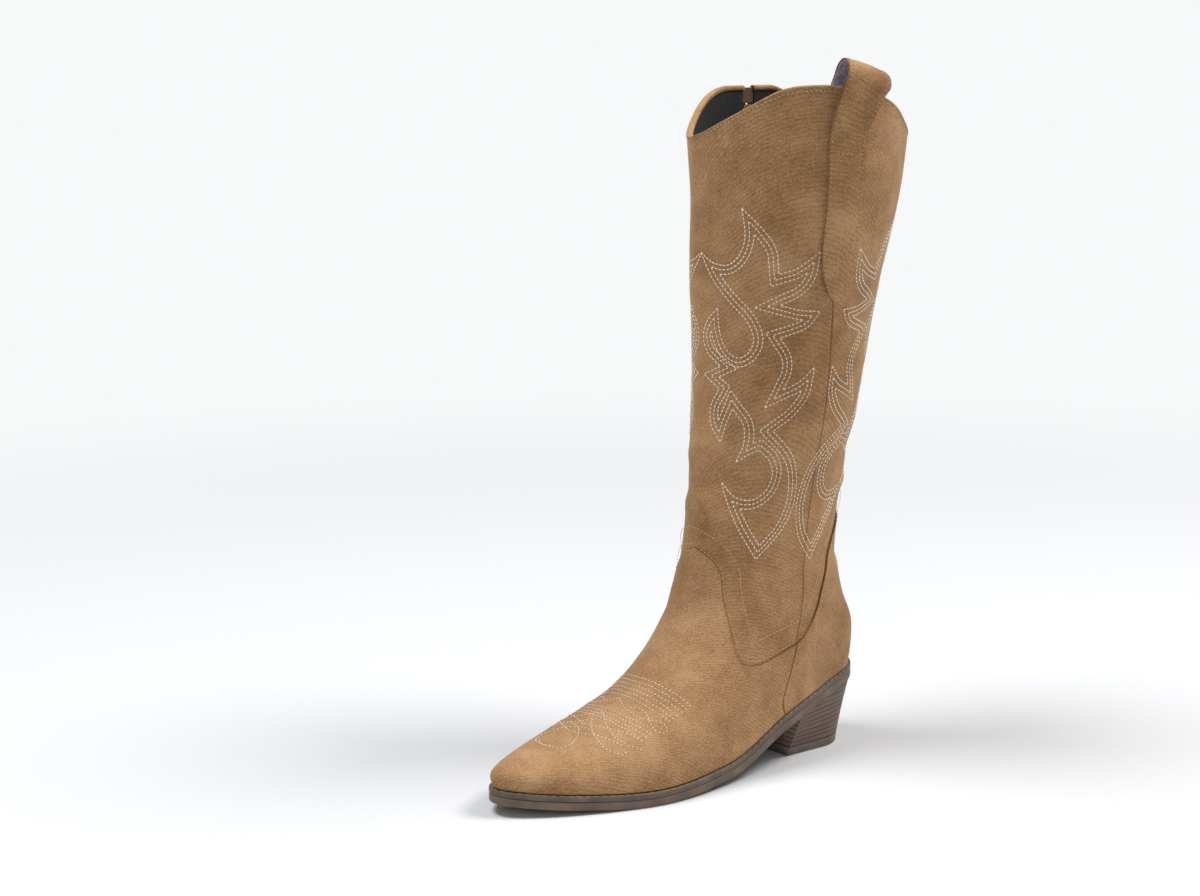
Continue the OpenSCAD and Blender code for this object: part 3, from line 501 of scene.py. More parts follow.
TOE_BOWS = [(-133, -129, -120.5), (-135.6, -131.6, -124), (-138, -134.4, -127.5), (-140.4, -137.2, -131),
            (-142.8, -140, -134.4), (-145.2, -142.8, -137.6)]
LOWER_BOWS = [(-156.5, -155, -149), (-159.5, -158, -152.5), (-162.3, -161, -156), (-165, -163.6, -159.5)]
SIDE_LINES = [
    [(0, -147.5), (6, -150), (12, -151.5), (20, -151), (26, -149), (31, -145), (36, -141.5), (39, -142),
     (39.5, -145),
     (36, -148.5), (30, -148), (24, -145.5), (18, -146.5), (12, -149.5)],
    [(0, -160), (8, -165.5), (17, -170), (26, -172), (32, -170), (37, -165.5), (40, -161.5)],
    [(0, -168), (5, -174), (16, -180), (26, -182), (32, -179), (36, -174.5), (36, -171)],
    [(0, -176), (7, -173.5), (14, -171), (21, -168), (28, -164), (34, -161), (39, -157.5)],
    [(0, -187), (10, -183.5), (18, -179), (26, -175.5), (33, -171.5)],
    [(-12, -177.5), (-4, -179), (4, -182.5), (10, -188.5), (13.5, -196), (12, -203), (6, -206.5),
     (-1, -207), (-8, -204)]]
foot_tree = BVHTree.FromObject(vamp, bpy.context.evaluated_depsgraph_get())
toe_lines = []
for mid, half, far in TOE_BOWS + LOWER_BOWS:
    toe_lines.append(on_foot(foot_tree, flow([(-26, blend(half, far, 0.3)), (-14, blend(mid, half, 0.6)),
                                              (0, mid), (19, half), (37, far)])))
for line in SIDE_LINES:
    toe_lines.append(on_foot(foot_tree, flow(line)))
    toe_lines.append(on_foot(foot_tree, flow([(-x, y) for x, y in line])))
sew("toe_stitching", toe_lines, cream_thread, 2.6, 1.9, 0.25, 0.1)
# Painted shade in the toe's needle holes: a short dark bead sunk at each stitch's ends.
sew("toe_stitch_hole_shade", toe_lines, stitch_hole_shade, 2.6, 0.6, 0.3, -0.1, 0.0)


# Shifts a line of the upper sideways within the cloth, to the right of its run.
def beside(u, v, mm):
    along = np.stack([np.gradient(c) for c in upper(u, v).T], 1)
    n = outward(u, v)
    right = np.cross(along, n)
    right = right / np.linalg.norm(right, axis=1, keepdims=True) * mm
    du, dv = (upper(u + 0.5, v) - upper(u - 0.5, v)), (upper(u, v + 0.02) - upper(u, v - 0.02)) / 0.04
    a, b, c = (du * du).sum(1), (du * dv).sum(1), (dv * dv).sum(1)
    p, q = (right * du).sum(1), (right * dv).sum(1)
    det = a * c - b * b
    return u + (c * p - b * q) / det, v + (a * q - b * p) / det


def cloth_line(u, v, out):
    return skin(u, v, out), outward(u, v)


edge_u = np.linspace(72, 279, 260)
edge_lines = []
for mm in (1.8, 12.0):
    u, v = beside(edge_u, vamp_top(edge_u), mm)
    edge_lines.append(cloth_line(u, v, 1.5))


# ---- Counter ---------------------------------------------------------------------------------
# The heel's cover: a second piece of the same suede with a tongue up the back, meeting the vamp
# in an upright seam on the outer side. Two tan rows follow its upper edge.
def counter_top(angle):
    return through(angle, [0, 20, 35, 45, 50, 55, 59, 63, 68, 75],
                   [5.5, 5.42, 5.25, 4.95, 4.5, 4, 3.5, 3.1, 2.85, 2.75])


counter = cut_piece("counter_suede", lambda v: behind_zip(v, SUEDE_OPENING),
                    lambda v: seam_u(v) - degrees_of(0.04, 70, v),
                    (-72, 71), level(0.03), lambda u: counter_top(np.abs(u)), (0.1, 1.5), 120, 90,
                    faux_suede, 150, 90)
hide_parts("counter")
edge_u = np.linspace(-62, 70, 200)
for mm in (1.8, 12.0):
    u, v = beside(edge_u, counter_top(np.abs(edge_u)), mm)
    edge_lines.append(cloth_line(u, v, 1.5))
rise_v = np.linspace(0.2, 2.7, 60)
edge_lines.append(cloth_line(seam_u(rise_v) - degrees_of(1.8, 70, rise_v), rise_v, 1.5))
sew("foot_edge_stitching", edge_lines, tan_thread, 2.9, 2.1, 0.22, 0.05)


# ---- Shaft panels ----------------------------------------------------------------------------
# Two tall panels of faux suede, front and back, seamed on the outer side and zipped on the
# inner one. Their lower edges are tucked under the vamp and the counter.
front_panel = cut_piece("shaft_front_suede", lambda v: seam_u(v) - degrees_of(0.12, 80, v),
                        lambda v: before_zip(v, SUEDE_OPENING), (71, 288), lambda u: vamp_top(u) - 0.55,
                        level(10), (-1.4, 0.0), 170, 230, faux_suede, 200, 300)
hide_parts("shaft_front")
back_panel = cut_piece("shaft_back_suede", lambda v: behind_zip(v, SUEDE_OPENING),
                       lambda v: seam_u(v) + degrees_of(0.12, 80, v),
                       (-72, 71), lambda u: counter_top(np.abs(u)) - 0.55, level(10), (-1.4, 0.0),
                       150, 220, faux_suede, 200, 300)
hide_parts("shaft_back")


# ---- Flame embroidery ------------------------------------------------------------------------
# Three rows of cream thread, 2.8 mm apart, drawn as one flame with curled tips. The same figure
# is sewn four times, twice on each panel, mirrored about the seam and the zip.
FLAME = [
    [(-16, 356), (-1, 342), (8, 330), (11, 315)],
    [(11, 315), (22, 319), (35, 329)],
    [(35, 329), (33, 313), (26, 303), (13, 296)],
    [(13, 296), (25, 293), (38, 292)],
    [(38, 292), (30, 282), (14, 276)],
    [(14, 276), (21, 265), (22, 254), (18, 243)],
    [(18, 243), (28, 248), (37, 257)],
    [(37, 257), (35, 240), (27, 227), (15, 217)],
    [(15, 217), (29, 203), (36, 188), (38, 168), (32, 150), (18, 133)],
    [(18, 133), (4, 153), (-5, 169), (-12, 184)],
    [(-12, 184), (-2, 175), (9, 173), (17, 179), (19, 190), (15, 199), (8, 205)],
    [(8, 205), (2, 202), (-5, 197)],
    [(-5, 197), (-2, 209), (-4, 221), (-12, 231)],
    [(-12, 231), (-15, 221), (-17, 209)],
    [(-17, 209), (-25, 219), (-27, 231), (-22, 243)],
    [(-22, 243), (-28, 247), (-34, 251)],
    [(-34, 251), (-28, 254), (-22, 257)],
    [(-22, 257), (-32, 265), (-36, 275), (-33, 285), (-26, 293)],
    [(-26, 293), (-24, 279), (-19, 268), (-12, 263), (-5, 266), (-2, 275), (-7, 286), (-19, 298),
     (-31, 311), (-42, 327)],
    [(-42, 327), (-32, 321), (-21, 320), (-14, 327), (-12, 339), (-16, 356)]]


def cross_point(p, q):
    best = None
    for i in range(len(p) - 1):
        d = p[i + 1] - p[i]
        for j in range(len(q) - 1):
            e = q[j + 1] - q[j]
            det = d[0] * e[1] - d[1] * e[0]
            if abs(det) < 1e-12:
                continue
            w = q[j] - p[i]
            s, t = (w[0] * e[1] - w[1] * e[0]) / det, (w[0] * d[1] - w[1] * d[0]) / det
            if 0 <= s <= 1 and 0 <= t <= 1 and (best is None or i + j < best[0] + best[1]):
                best = (i, j, p[i] + s * d)
    return best


# One row of the flame, a distance inside its outline, with its corners sharp.
def flame_row(inset):
    runs = []
    for part in FLAME:
        p = flow(part, 8)
        t = np.gradient(p, axis=0)
        t = t / np.linalg.norm(t, axis=1, keepdims=True)
        p = p + np.stack([t[:, 1], -t[:, 0]], 1) * inset
        reach = 6.0 * inset + 0.01
        runs.append(np.vstack([p[:1] - t[:1] * reach, p, p[-1:] + t[-1:] * reach]))
    heads, tails = [1] * len(runs), [len(run) - 1 for run in runs]
    corners = [None] * len(runs)
    for k, run in enumerate(runs):
        after = (k + 1) % len(runs)
        found = cross_point(run[::-1], runs[after])
        if found:
            tails[k] = len(run) - 1 - found[0]
            heads[after] = found[1] + 1
            corners[after] = found[2]
    lines = []
    for k, run in enumerate(runs):
        after = (k + 1) % len(runs)
        first = corners[k] if corners[k] is not None else run[1]
        last = corners[after] if corners[after] is not None else run[-2]
        inner = run[heads[k]:tails[k]]
        lines.append(np.vstack([first[None], inner, last[None]]))
    return lines


# Carries a figure drawn flat, x along the cloth and z up, on to the shaft.
def on_shaft(plan, centre, toward):
    levels = np.linspace(4.4, 9.8, 200)
    v = np.interp(plan[:, 1], upper(np.full(200, centre), levels)[:, 2], levels)
    turns = np.linspace(-75, 75, 121)
    ring = upper(centre + turns[None, :], v[:, None])
    run = np.hstack([np.zeros((len(v), 1)), np.cumsum(np.linalg.norm(np.diff(ring, axis=1), axis=-1), 1)])
    run = run - run[:, 60:61]
    u = centre + np.array([np.interp(toward * x, r, turns) for x, r in zip(plan[:, 0], run)])
    return cloth_line(u, v, 0.0)


for name, centre, toward in (("front_outer", 142, -1), ("front_inner", 227.5, 1), ("back_outer", 57, 1),
                             ("back_inner", 321, -1)):
    flame_lines = []
    for inset in (0.0, 2.8, 5.6):
        for line in flame_row(inset):
            flame_lines.append(on_shaft(line, centre, toward))
    sew("flame_" + name, flame_lines, cream_thread, 2.6, 2.0, 0.33, 0.12)


# ---- Rim, side seam and zip-edge stitching ---------------------------------------------------
# The panels' top edges are turned over the lining and sewn 3 mm below the rim. Tan rows hold
# the side seam's allowance and the zip's tapes.
def fold_over(name, first, last, count):
    u = np.linspace(first, last, count)
    shape = [(0.05, -1.6), (0.1, -0.2), (-0.3, 0.45), (-1.8, 0.7), (-3.3, 0.45), (-4.0, -0.3),
             (-4.05, -1.6), (-3.95, -2.9),
             (-3.5, -3.0), (-3.42, -1.8), (-3.3, -0.15), (-1.5, 0.05), (-0.6, -0.5), (-0.6, -1.6)]
    rings = []
    for out, up in shape:
        rings.append(skin(u, 10 + 0 * u + up / 60, out))
    grid = np.stack(rings, 1)
    n, m = grid.shape[:2]
    faces = []
    for i in range(n - 1):
        for j in range(m):
            k = (j + 1) % m
            faces.append((i * m + j, i * m + k, (i + 1) * m + k, (i + 1) * m + j))
    faces.append(tuple(range(m - 1, -1, -1)))
    faces.append(tuple((n - 1) * m + j for j in range(m)))
    piece = make_piece(name, grid.reshape(-1, 3), faces, faux_suede)
    layer = piece.data.attributes.new("edge_mm", "FLOAT", "POINT")
    layer.data.foreach_set("value", np.full(n * m, 30, np.float32))
    return piece


fold_over("rim_fold_front", 93.4, float(before_zip(10.0, 4.3)), 130)
fold_over("rim_fold_back", float(behind_zip(10.0, 4.3)), 92.6, 130)
shaft_lines = []
turn = np.linspace(94, 265, 200)
shaft_lines.append(cloth_line(turn, 9.945 + 0 * turn, 0.0))
turn = np.linspace(-85, 92, 200)
shaft_lines.append(cloth_line(turn, 9.945 + 0 * turn, 0.0))
rise_v = np.linspace(3.4, 9.94, 240)
shaft_lines.append(cloth_line(seam_u(rise_v) + degrees_of(1.7, 85, rise_v), rise_v, 0.0))
for mm in (5.8, 9.2):
    shaft_lines.append(cloth_line(before_zip(rise_v, mm), rise_v, 0.0))
    shaft_lines.append(cloth_line(behind_zip(rise_v, mm) + 360, rise_v, 0.0))
low_v = np.linspace(0.15, 3.1, 90)
shaft_lines.append(cloth_line(before_zip(low_v, 5.8), low_v, 1.5))
shaft_lines.append(cloth_line(behind_zip(low_v, 5.8) + 360, low_v, 1.5))
sew("shaft_stitching", shaft_lines, tan_thread, 2.8, 1.8, 0.24, 0.06)
# Painted shade in the shaft's needle holes: a short dark bead sunk at each stitch's ends.
sew("shaft_stitch_hole_shade", shaft_lines, stitch_hole_shade, 2.8, 0.9, 0.34, -0.08, 0.0)


# ---- Lining and sock -------------------------------------------------------------------------
# Black knitted lining, bonded to the panels and seen inside the top, with a padded black sock
# glued over the insole. Knit of 1 mm wales, drawn at 1.6 mm so that it shows.
lining_knit = new_material("black_brushed_knit_lining")
place = on_object(lining_knit)
wales = put(lining_knit, "ShaderNodeTexWave", {"Scale": 300.0, "Distortion": 2.0, "Detail": 2.0},
            place)
pill = put(lining_knit, "ShaderNodeTexNoise", {"Scale": 500.0, "Detail": 3.0}, place)
loops = put(lining_knit, "ShaderNodeMix", {"data_type": "FLOAT", "Factor": 0.6},
            {"A": wales.outputs["Fac"], "B": pill.outputs["Fac"]})
tint = ramp(lining_knit, loops.outputs[0], [(0.3, "#080707"), (0.75, "#151312")])
nub = put(lining_knit, "ShaderNodeBump", {"Strength": 0.4, "Distance": 0.0004},
          {"Height": loops.outputs[0]})
surface_out(lining_knit, tint.outputs[0], nub.outputs[0], {"Roughness": 0.9, "Sheen Weight": 0.06})

D_LINING = -1.4 - 0.15 - 0.6 - 0.1
WALL = -D_LINING + 1.1
foot_lining = cut_piece("vamp_lining_knit", lambda v: behind_zip(v, LINING_OPENING),
                        lambda v: before_zip(v, LINING_OPENING), (-60, 290),
                        level(0.03), level(3.68), (D_LINING - 1.1, D_LINING), 150, 50,
                        lining_knit, 500, 100)
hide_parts("vamp_lining")
front_lining = cut_piece("shaft_front_lining_knit", lambda v: seam_u(v) - degrees_of(0.12, 80, v),
                         lambda v: before_zip(v, LINING_OPENING), (71, 280), level(3.72), level(LINING_TOP),
                         (D_LINING - 1.1, D_LINING), 70, 90, lining_knit, 200, 340)
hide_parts("lining_front")
back_lining = cut_piece("shaft_back_lining_knit", lambda v: behind_zip(v, LINING_OPENING),
                        lambda v: seam_u(v) - degrees_of(0.15, 80, v), (-80, 71), level(3.72),
                        level(LINING_TOP), (D_LINING - 1.1, D_LINING), 70, 90, lining_knit,
                        200, 340)
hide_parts("lining_back")


# The sole's outline: a distance out from the line where the upper meets the sole.
def outline(u, out):
    a, b, c = upper(u - 0.5, 0), upper(u + 0.5, 0), upper(u, 0)
    t = (b - a)[..., :2]
    t = t / np.linalg.norm(t, axis=-1, keepdims=True)
    out = np.broadcast_to(np.asarray(out, float), c[..., 0].shape)
    out = np.where(out < 0, -np.minimum(-out, 0.8 * np.abs(c[..., 0]) + 2), out)
    x, y = c[..., 0] - t[..., 1] * out, c[..., 1] + t[..., 0] * out
    return np.stack([x, y, feather(y)], -1)


# A slab with the sole's outline: profile gives each ring's distance out and height, bottom to top.
def sole_slab(name, profile, mat, count=220, closed_band=False):
    turn = np.arange(count) * 360 / count
    rings = []
    for out, up in profile:
        ring = outline(turn, out)
        ring[:, 2] += up
        rings.append(ring / 1000)
    points = np.vstack(rings)
    faces = []
    levels = len(profile)
    for k in range(levels if closed_band else levels - 1):
        a, b = k * count, ((k + 1) % levels) * count
        for i in range(count):
            j = (i + 1) % count
            faces.append((a + i, b + i, b + j, a + j))
    if not closed_band:
        top = (levels - 1) * count
        for i in range(count // 2):
            p, q = (count - i) % count, count - i - 1
            faces.append((top + i, top + p, top + q, top + i + 1) if i else (top, top + count - 1, top + 1))
            faces.append((i, i + 1, q, p) if i else (0, 1, count - 1))
        faces = [f for f in faces if len(set(f)) == len(f)]
    return make_piece(name, points, faces, mat)


sock = sole_slab("sock_liner_knit", [(-WALL - 1.5, 2.2), (-WALL - 1.0, 2.4), (-WALL - 0.9, 3.0),
                                     (-WALL - 1.1, 3.5),
                                     (-WALL - 1.8, 3.8), (-WALL - 6, 3.85), (-WALL - 14, 3.7)], lining_knit)
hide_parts("sock_liner")


# ---- Zip -------------------------------------------------------------------------------------
# A number 5 coil zip: two woven polyester tapes sewn behind the panels' edges, each with a
# spiral of brown nylon, closed by a small slider in antique brass.
# Woven polyester tape: brown, ribbed every 1.3 mm along its length.
zip_tape = new_material("woven_polyester_tape")
place = on_object(zip_tape)
rib = put(zip_tape, "ShaderNodeTexWave", {"bands_direction": "Z", "Scale": 240.0, "Distortion": 1.0},
          place)
yarn = put(zip_tape, "ShaderNodeTexNoise", {"Scale": 900.0}, place)
weave = put(zip_tape, "ShaderNodeMix", {"data_type": "FLOAT", "Factor": 0.4},
            {"A": rib.outputs["Fac"], "B": yarn.outputs["Fac"]})
tint = ramp(zip_tape, weave.outputs[0], [(0.25, "#4A321F"), (0.75, "#6E4F35")])
ridge = put(zip_tape, "ShaderNodeBump", {"Strength": 0.5, "Distance": 0.0003}, {"Height": weave.outputs[0]})
surface_out(zip_tape, tint.outputs[0], ridge.outputs[0], {"Roughness": 0.8, "Sheen Weight": 0.1})

# Drawn nylon filament: warm brown, smooth, with a soft shine.
zip_coil = new_material("drawn_nylon_coil")
place = on_object(zip_coil)
shade = put(zip_coil, "ShaderNodeTexNoise", {"Scale": 260.0}, place)
tint = ramp(zip_coil, shade.outputs["Fac"], [(0.3, "#6B4A30"), (0.7, "#8E6B4A")])
surface_out(zip_coil, tint.outputs[0], None, {"Roughness": 0.4, "IOR": 1.53})

tape_depth = (-1.4 - 0.15 - 0.6, -1.4 - 0.15)
tape_front = cut_piece("zip_tape_front_weave", lambda v: before_zip(v, 11.6), lambda v: before_zip(v, 0.6),
                       (260, 270),
                       level(0.03), level(9.97), tape_depth, 14, 320, zip_tape, 11, 390)
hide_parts("zip_tape_front")
tape_back = cut_piece("zip_tape_back_weave", lambda v: behind_zip(v, 0.6), lambda v: behind_zip(v, 11.6),
                      (-90, -80),
                      level(0.03), level(9.97), tape_depth, 14, 320, zip_tape, 11, 390)
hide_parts("zip_tape_back")


# One side of the coil: a flattened filament wound round, its turns 1.3 mm apart, each turn
# reaching from the tape's edge towards the middle.
def coil(name, near, far, side):
    heights = np.linspace(0.36, 9.735, 1500)
    spine = np.stack([skin(zip_u(v), v, 0.0) for v in heights])
    run = np.concatenate([[0], np.cumsum(np.linalg.norm(np.diff(spine, axis=0), axis=1))]) * 1000
    turns = int(run[-1] / 1.3)
    phase = np.linspace(0, turns * 2 * np.pi, turns * 12)
    v = np.interp(phase / (2 * np.pi) * run[-1] / turns, run, heights)
    reach = (near + far) / 2 - (far - near) / 2 * np.cos(phase)
    high = -1.4 - 0.45 + 1.2 + 0.85 * np.sin(phase)
    u = zip_u(v) + side * degrees_of(reach, zip_u(v), v)
    line = skin(u, v, high)
    t = np.gradient(line, axis=0)
    t = t / np.linalg.norm(t, axis=1, keepdims=True)
    n = outward(u, v)
    n = n - (n * t).sum(1, keepdims=True) * t
    n = n / np.linalg.norm(n, axis=1, keepdims=True)
    b = np.cross(t, n)
    rings = []
    for a in np.radians(np.arange(0, 360, 72)):
        rings.append(line + (n * math.sin(a) + b * math.cos(a)) * 0.00034)
    grid = np.stack(rings, 1)
    m = grid.shape[0]
    faces = []
    for i in range(m - 1):
        for j in range(5):
            k = (j + 1) % 5
            faces.append((i * 5 + j, i * 5 + k, i * 5 + 5 + k, i * 5 + 5 + j))
    faces.append((4, 3, 2, 1, 0))
    faces.append(tuple((m - 1) * 5 + j for j in range(5)))
    return make_piece(name, grid.reshape(-1, 3), faces, zip_coil)


# A small woven tab behind the tapes' upper ends closes the gap above the slider.
cut_piece("zip_top_tab", lambda v: before_zip(v, 4.6), lambda v: before_zip(v, -4.6), (262, 270),
          level(9.8),
          level(LINING_TOP), (D_LINING - 0.65, D_LINING - 0.05), 12, 14, zip_tape, 9, 10)

coil_front = coil("zip_coil_front", 0.75, 2.5, -1)
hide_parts("zip_teeth_front")
coil_back = coil("zip_coil_back", 0.75, 2.5, 1)
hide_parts("zip_teeth_back")

# Die-cast zinc, plated and rubbed to an antique brass: warm brown metal, scuffed along edges.
antique_brass = new_material("antique_brass_plate")
place = on_object(antique_brass)
rub = put(antique_brass, "ShaderNodeTexNoise", {"Scale": 400.0, "Detail": 4.0}, place)
tint = ramp(antique_brass, rub.outputs["Fac"], [(0.3, "#5A4229"), (0.55, "#8A6A44"), (0.8, "#B48F5F")])
dull = put(antique_brass, "ShaderNodeMapRange", {"To Min": 0.3, "To Max": 0.5},
           {"Value": rub.outputs["Fac"]})
shader = surface_out(antique_brass, tint.outputs[0], None, {"Metallic": 1.0})
antique_brass.node_tree.links.new(dull.outputs[0], shader.inputs["Roughness"])
for node in ("zip_slider", "zip_puller", "zip_top_stop_front", "zip_top_stop_back", "zip_bottom_stop"):
    dress(node, antique_brass)


# ---- Pull strap ------------------------------------------------------------------------------
# One broad loop of suede on a grey-lilac pebbled backing, sewn to the shaft's outer side down
# to a rounded point, and to the lining inside. The loop stands 18 mm clear of the rim.
strap_backing = new_material("pebbled_backing_cloth")
place = on_object(strap_backing)
pebble = put(strap_backing, "ShaderNodeTexVoronoi", {"Scale": 720.0}, place)
tint = ramp(strap_backing, pebble.outputs["Distance"], [(0.1, "#CFC8D6"), (0.7, "#8C8496")])
nub = put(strap_backing, "ShaderNodeBump", {"Strength": 0.6, "Distance": 0.0004, "invert": True},
          {"Height": pebble.outputs["Distance"]})
surface_out(strap_backing, tint.outputs[0], nub.outputs[0], {"Roughness": 0.8})

# Stations along the strap: height over the rim, distance out of the panel, shift to the back,
# share of the full width.
STATIONS = [(-122, 0.45, 7, 0.12), (-117, 0.45, 6.6, 0.48), (-110, 0.45, 6, 0.72), (-100, 0.45, 5, 0.87),
            (-90, 0.45, 4, 0.91), (-78, 0.45, 3, 0.9), (-65, 0.45, 1.5, 0.87), (-52, 0.45, 0.5, 0.85),
            (-36, 0.45, 0, 0.85),
            (-24, 1.6, 1.5, 0.88), (-12, 5.5, 5, 0.93), (0, 9, 8.5, 0.98), (5, 9.6, 11, 1.02),
            (10.5, 7.4, 12.5, 1.04),
            (13.5, 3, 13.2, 1.05), (13.5, -2.5, 13.5, 1.05), (10.5, -7, 13.2, 1.04), (5, -9.4, 12, 1.02),
            (0, -9.4, 9, 0.98),
            (-12, -7, 5, 0.93), (-24, -WALL - 1.6, 1.5, 0.88), (-36, -WALL - 0.85, 0, 0.85),
            (-50, -WALL - 0.85, 0, 0.85),
            (-62, -WALL - 0.85, 0, 0.85)]
stations = flow(STATIONS, 8)
stations[:, 3] = np.clip(stations[:, 3], 0.02, 1.08)
heading = np.gradient(stations[:, :2], axis=0)
heading = heading / np.linalg.norm(heading, axis=1, keepdims=True)


def strap_at(x, up):
    h, n = stations[:, 0] - heading[:, 1] * up, stations[:, 1] + heading[:, 0] * up
    low = np.minimum(h, 0)
    v = np.where(low > -52, 10 + low / 52, 9 + (low + 52) / 60)
    u = 105 + degrees_of(x * 27 * stations[:, 3] - stations[:, 2], 105 + 0 * v, v)
    p = skin(u, v, n)
    p[:, 2] += (np.maximum(h, 0) + x * 27 * stations[:, 3] * 0.12 * np.clip((h + 24) / 30, 0, 1)) / 1000
    return p


def strap_layer(name, low, high, mat, trim=1.0):
    middle, thin = (low + high) / 2, (high - low) / 2
    across = [-0.5, -0.4975, -0.49, -0.475] + list(np.linspace(-0.45, 0.45, 9)) + [0.475, 0.49, 0.4975, 0.5]
    edge = (0.5 - np.abs(across)) * 27
    half = thin * np.sqrt(1 - (1 - np.clip(edge / thin, 0, 1)) ** 2)
    top = np.stack([strap_at(x * trim, middle + h) for x, h in zip(across, half)])
    under = np.stack([strap_at(x * trim, middle - h) for x, h in zip(across, half)])
    n, m = top.shape[:2]
    number = np.arange(n * m).reshape(n, m)
    below = number + n * m
    below[0], below[-1] = number[0], number[-1]
    faces = []
    for i in range(n - 1):
        for j in range(m - 1):
            faces.append((number[i, j], number[i, j + 1], number[i + 1, j + 1], number[i + 1, j]))
            faces.append((below[i, j], below[i + 1, j], below[i + 1, j + 1], below[i, j + 1]))
        for j in (0, m - 1):
            end = [number[i, j], number[i + 1, j], below[i + 1, j], below[i, j]]
            end = list(dict.fromkeys(end))
            faces.append(tuple(end) if j == 0 else tuple(reversed(end)))
    points = np.vstack([top.reshape(-1, 3), under.reshape(-1, 3)])
    used = np.unique([k for f in faces for k in f])
    renumber = np.full(len(points), -1)
    renumber[used] = np.arange(len(used))
    piece = make_piece(name, points[used], [tuple(renumber[k] for k in f) for f in faces], mat)
    layer = piece.data.attributes.new("edge_mm", "FLOAT", "POINT")
    near = np.concatenate([np.repeat(edge, m), np.repeat(edge, m)])[used]
    layer.data.foreach_set("value", near.astype(np.float32))
    return piece


strap_outer = strap_layer("pull_strap_suede", 0.75, 2.0, faux_suede)
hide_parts("pull_strap")
strap_inner = strap_layer("pull_strap_backing", 0.0, 0.75, strap_backing, 0.965)
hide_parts("pull_strap_lining")
strap_lines = []
for x in (-0.42, 0.42):
    at, above = strap_at(x, 2.0), strap_at(x, 2.5)
    normal = (above - at) / np.linalg.norm(above - at, axis=1, keepdims=True)
    strap_lines.append((at[8:], normal[8:]))
row = int(np.argmin(np.abs(stations[:len(stations) // 2, 0] + 38)))
at = np.stack([strap_at(x, 2.0)[row] for x in np.linspace(-0.42, 0.42, 12)])
above = np.stack([strap_at(x, 2.5)[row] for x in np.linspace(-0.42, 0.42, 12)])
strap_lines.append((at, (above - at) / np.linalg.norm(above - at, axis=1, keepdims=True)))
sew("strap_stitching", strap_lines, tan_thread, 2.7, 1.8, 0.24, 0.06)
# Painted shade in the strap's needle holes: a short dark bead sunk at each stitch's ends.
sew("strap_stitch_hole_shade", strap_lines, stitch_hole_shade, 2.7, 0.8, 0.32, -0.08, 0.0)


# ---- Welt ------------------------------------------------------------------------------------
# A moulded rubber strip round the whole sole, grey-brown, its ledge grooved and stitched to look
# like a sewn welt. It is cemented to the upper's edge and to the outsole.
welt_rubber = new_material("moulded_welt_rubber")
place = on_object(welt_rubber)
bloom = put(welt_rubber, "ShaderNodeTexNoise", {"Scale": 90.0, "Detail": 4.0}, place)
tint = ramp(welt_rubber, bloom.outputs["Fac"], [(0.35, "#4A3E34"), (0.7, "#645549")])
skinning = put(welt_rubber, "ShaderNodeBump", {"Strength": 0.15, "Distance": 0.0003},
               {"Height": bloom.outputs["Fac"]})
surface_out(welt_rubber, tint.outputs[0], skinning.outputs[0], {"Roughness": 0.5, "IOR": 1.5})
welt = sole_slab("welt_strip", [(-9, -3.6), (2.9, -3.6), (3.35, -3.4), (3.5, -2.9), (3.55, -1.5),
                                (3.45, -0.7), (3.2, -0.25),
                                (2.95, -0.15), (2.75, -0.5), (2.3, -0.6), (1.95, -0.3), (1.7, -0.05),
                                (-9, -0.05)],
                 welt_rubber, 300, True)
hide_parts("welt")
turn = np.linspace(0, 360, 500)
seat = outline(turn, 2.4)
seat[:, 2] += -0.45
sew("welt_stitching", [(seat / 1000, np.tile([0.0, 0.0, 1.0], (500, 1)))],
    thread("waxed_welt_thread", "#5B4A3A", "#A08A6C"), 5.2, 3.9, 0.42, 0.15)


# ---- Outsole and heel ------------------------------------------------------------------------
# A 5 mm outsole in brown thermoplastic rubber; a block heel of moulded board, ribbed to look
# like stacked leather lifts, on a 6 mm rubber top piece.
sole_rubber = new_material("thermoplastic_sole_rubber")
place = on_object(sole_rubber)
bloom = put(sole_rubber, "ShaderNodeTexNoise", {"Scale": 70.0, "Detail": 5.0}, place)
tint = ramp(sole_rubber, bloom.outputs["Fac"], [(0.3, "#574639"), (0.7, "#71604F")])
skinning = put(sole_rubber, "ShaderNodeBump", {"Strength": 0.2, "Distance": 0.0003},
               {"Height": bloom.outputs["Fac"]})
surface_out(sole_rubber, tint.outputs[0], skinning.outputs[0], {"Roughness": 0.6, "IOR": 1.5})
outsole = sole_slab("outsole_rubber", [(-20, -8.9), (2.6, -8.9), (3.2, -8.7), (3.45, -8.2), (3.5, -6.4),
                                       (3.45, -4.3), (3.2, -3.8),
                                       (2.7, -3.65), (-20, -3.65)], sole_rubber, 300)
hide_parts("outsole")

# Moulded heel stack: brown-grey, streaked along each lift, with a dark line between the lifts.
heel_stack = new_material("imitation_leather_heel_stack")
place = on_object(heel_stack)
flat = put(heel_stack, "ShaderNodeMapping", {"Scale": (30, 30, 900)}, place)
streak = put(heel_stack, "ShaderNodeTexNoise", {"Scale": 1.0, "Detail": 4.0, "Roughness": 0.65},
             {"Vector": flat.outputs[0]})
tint = ramp(heel_stack, streak.outputs["Fac"], [(0.3, "#52423A"), (0.52, "#6C594B"), (0.75, "#897260")])
joint = put(heel_stack, "ShaderNodeTexWave", {"bands_direction": "Z", "Scale": 95.0, "Distortion": 0.25},
            place)
lifts = ramp(heel_stack, joint.outputs["Fac"], [(0.04, "#8A786A"), (0.22, "#F4EEE8"), (0.8, "#FFFFFF")])
tone = put(heel_stack, "ShaderNodeMix", {"data_type": "RGBA", "blend_type": "MULTIPLY", "Factor": 0.9})
heel_stack.node_tree.links.new(tint.outputs[0], tone.inputs[6])
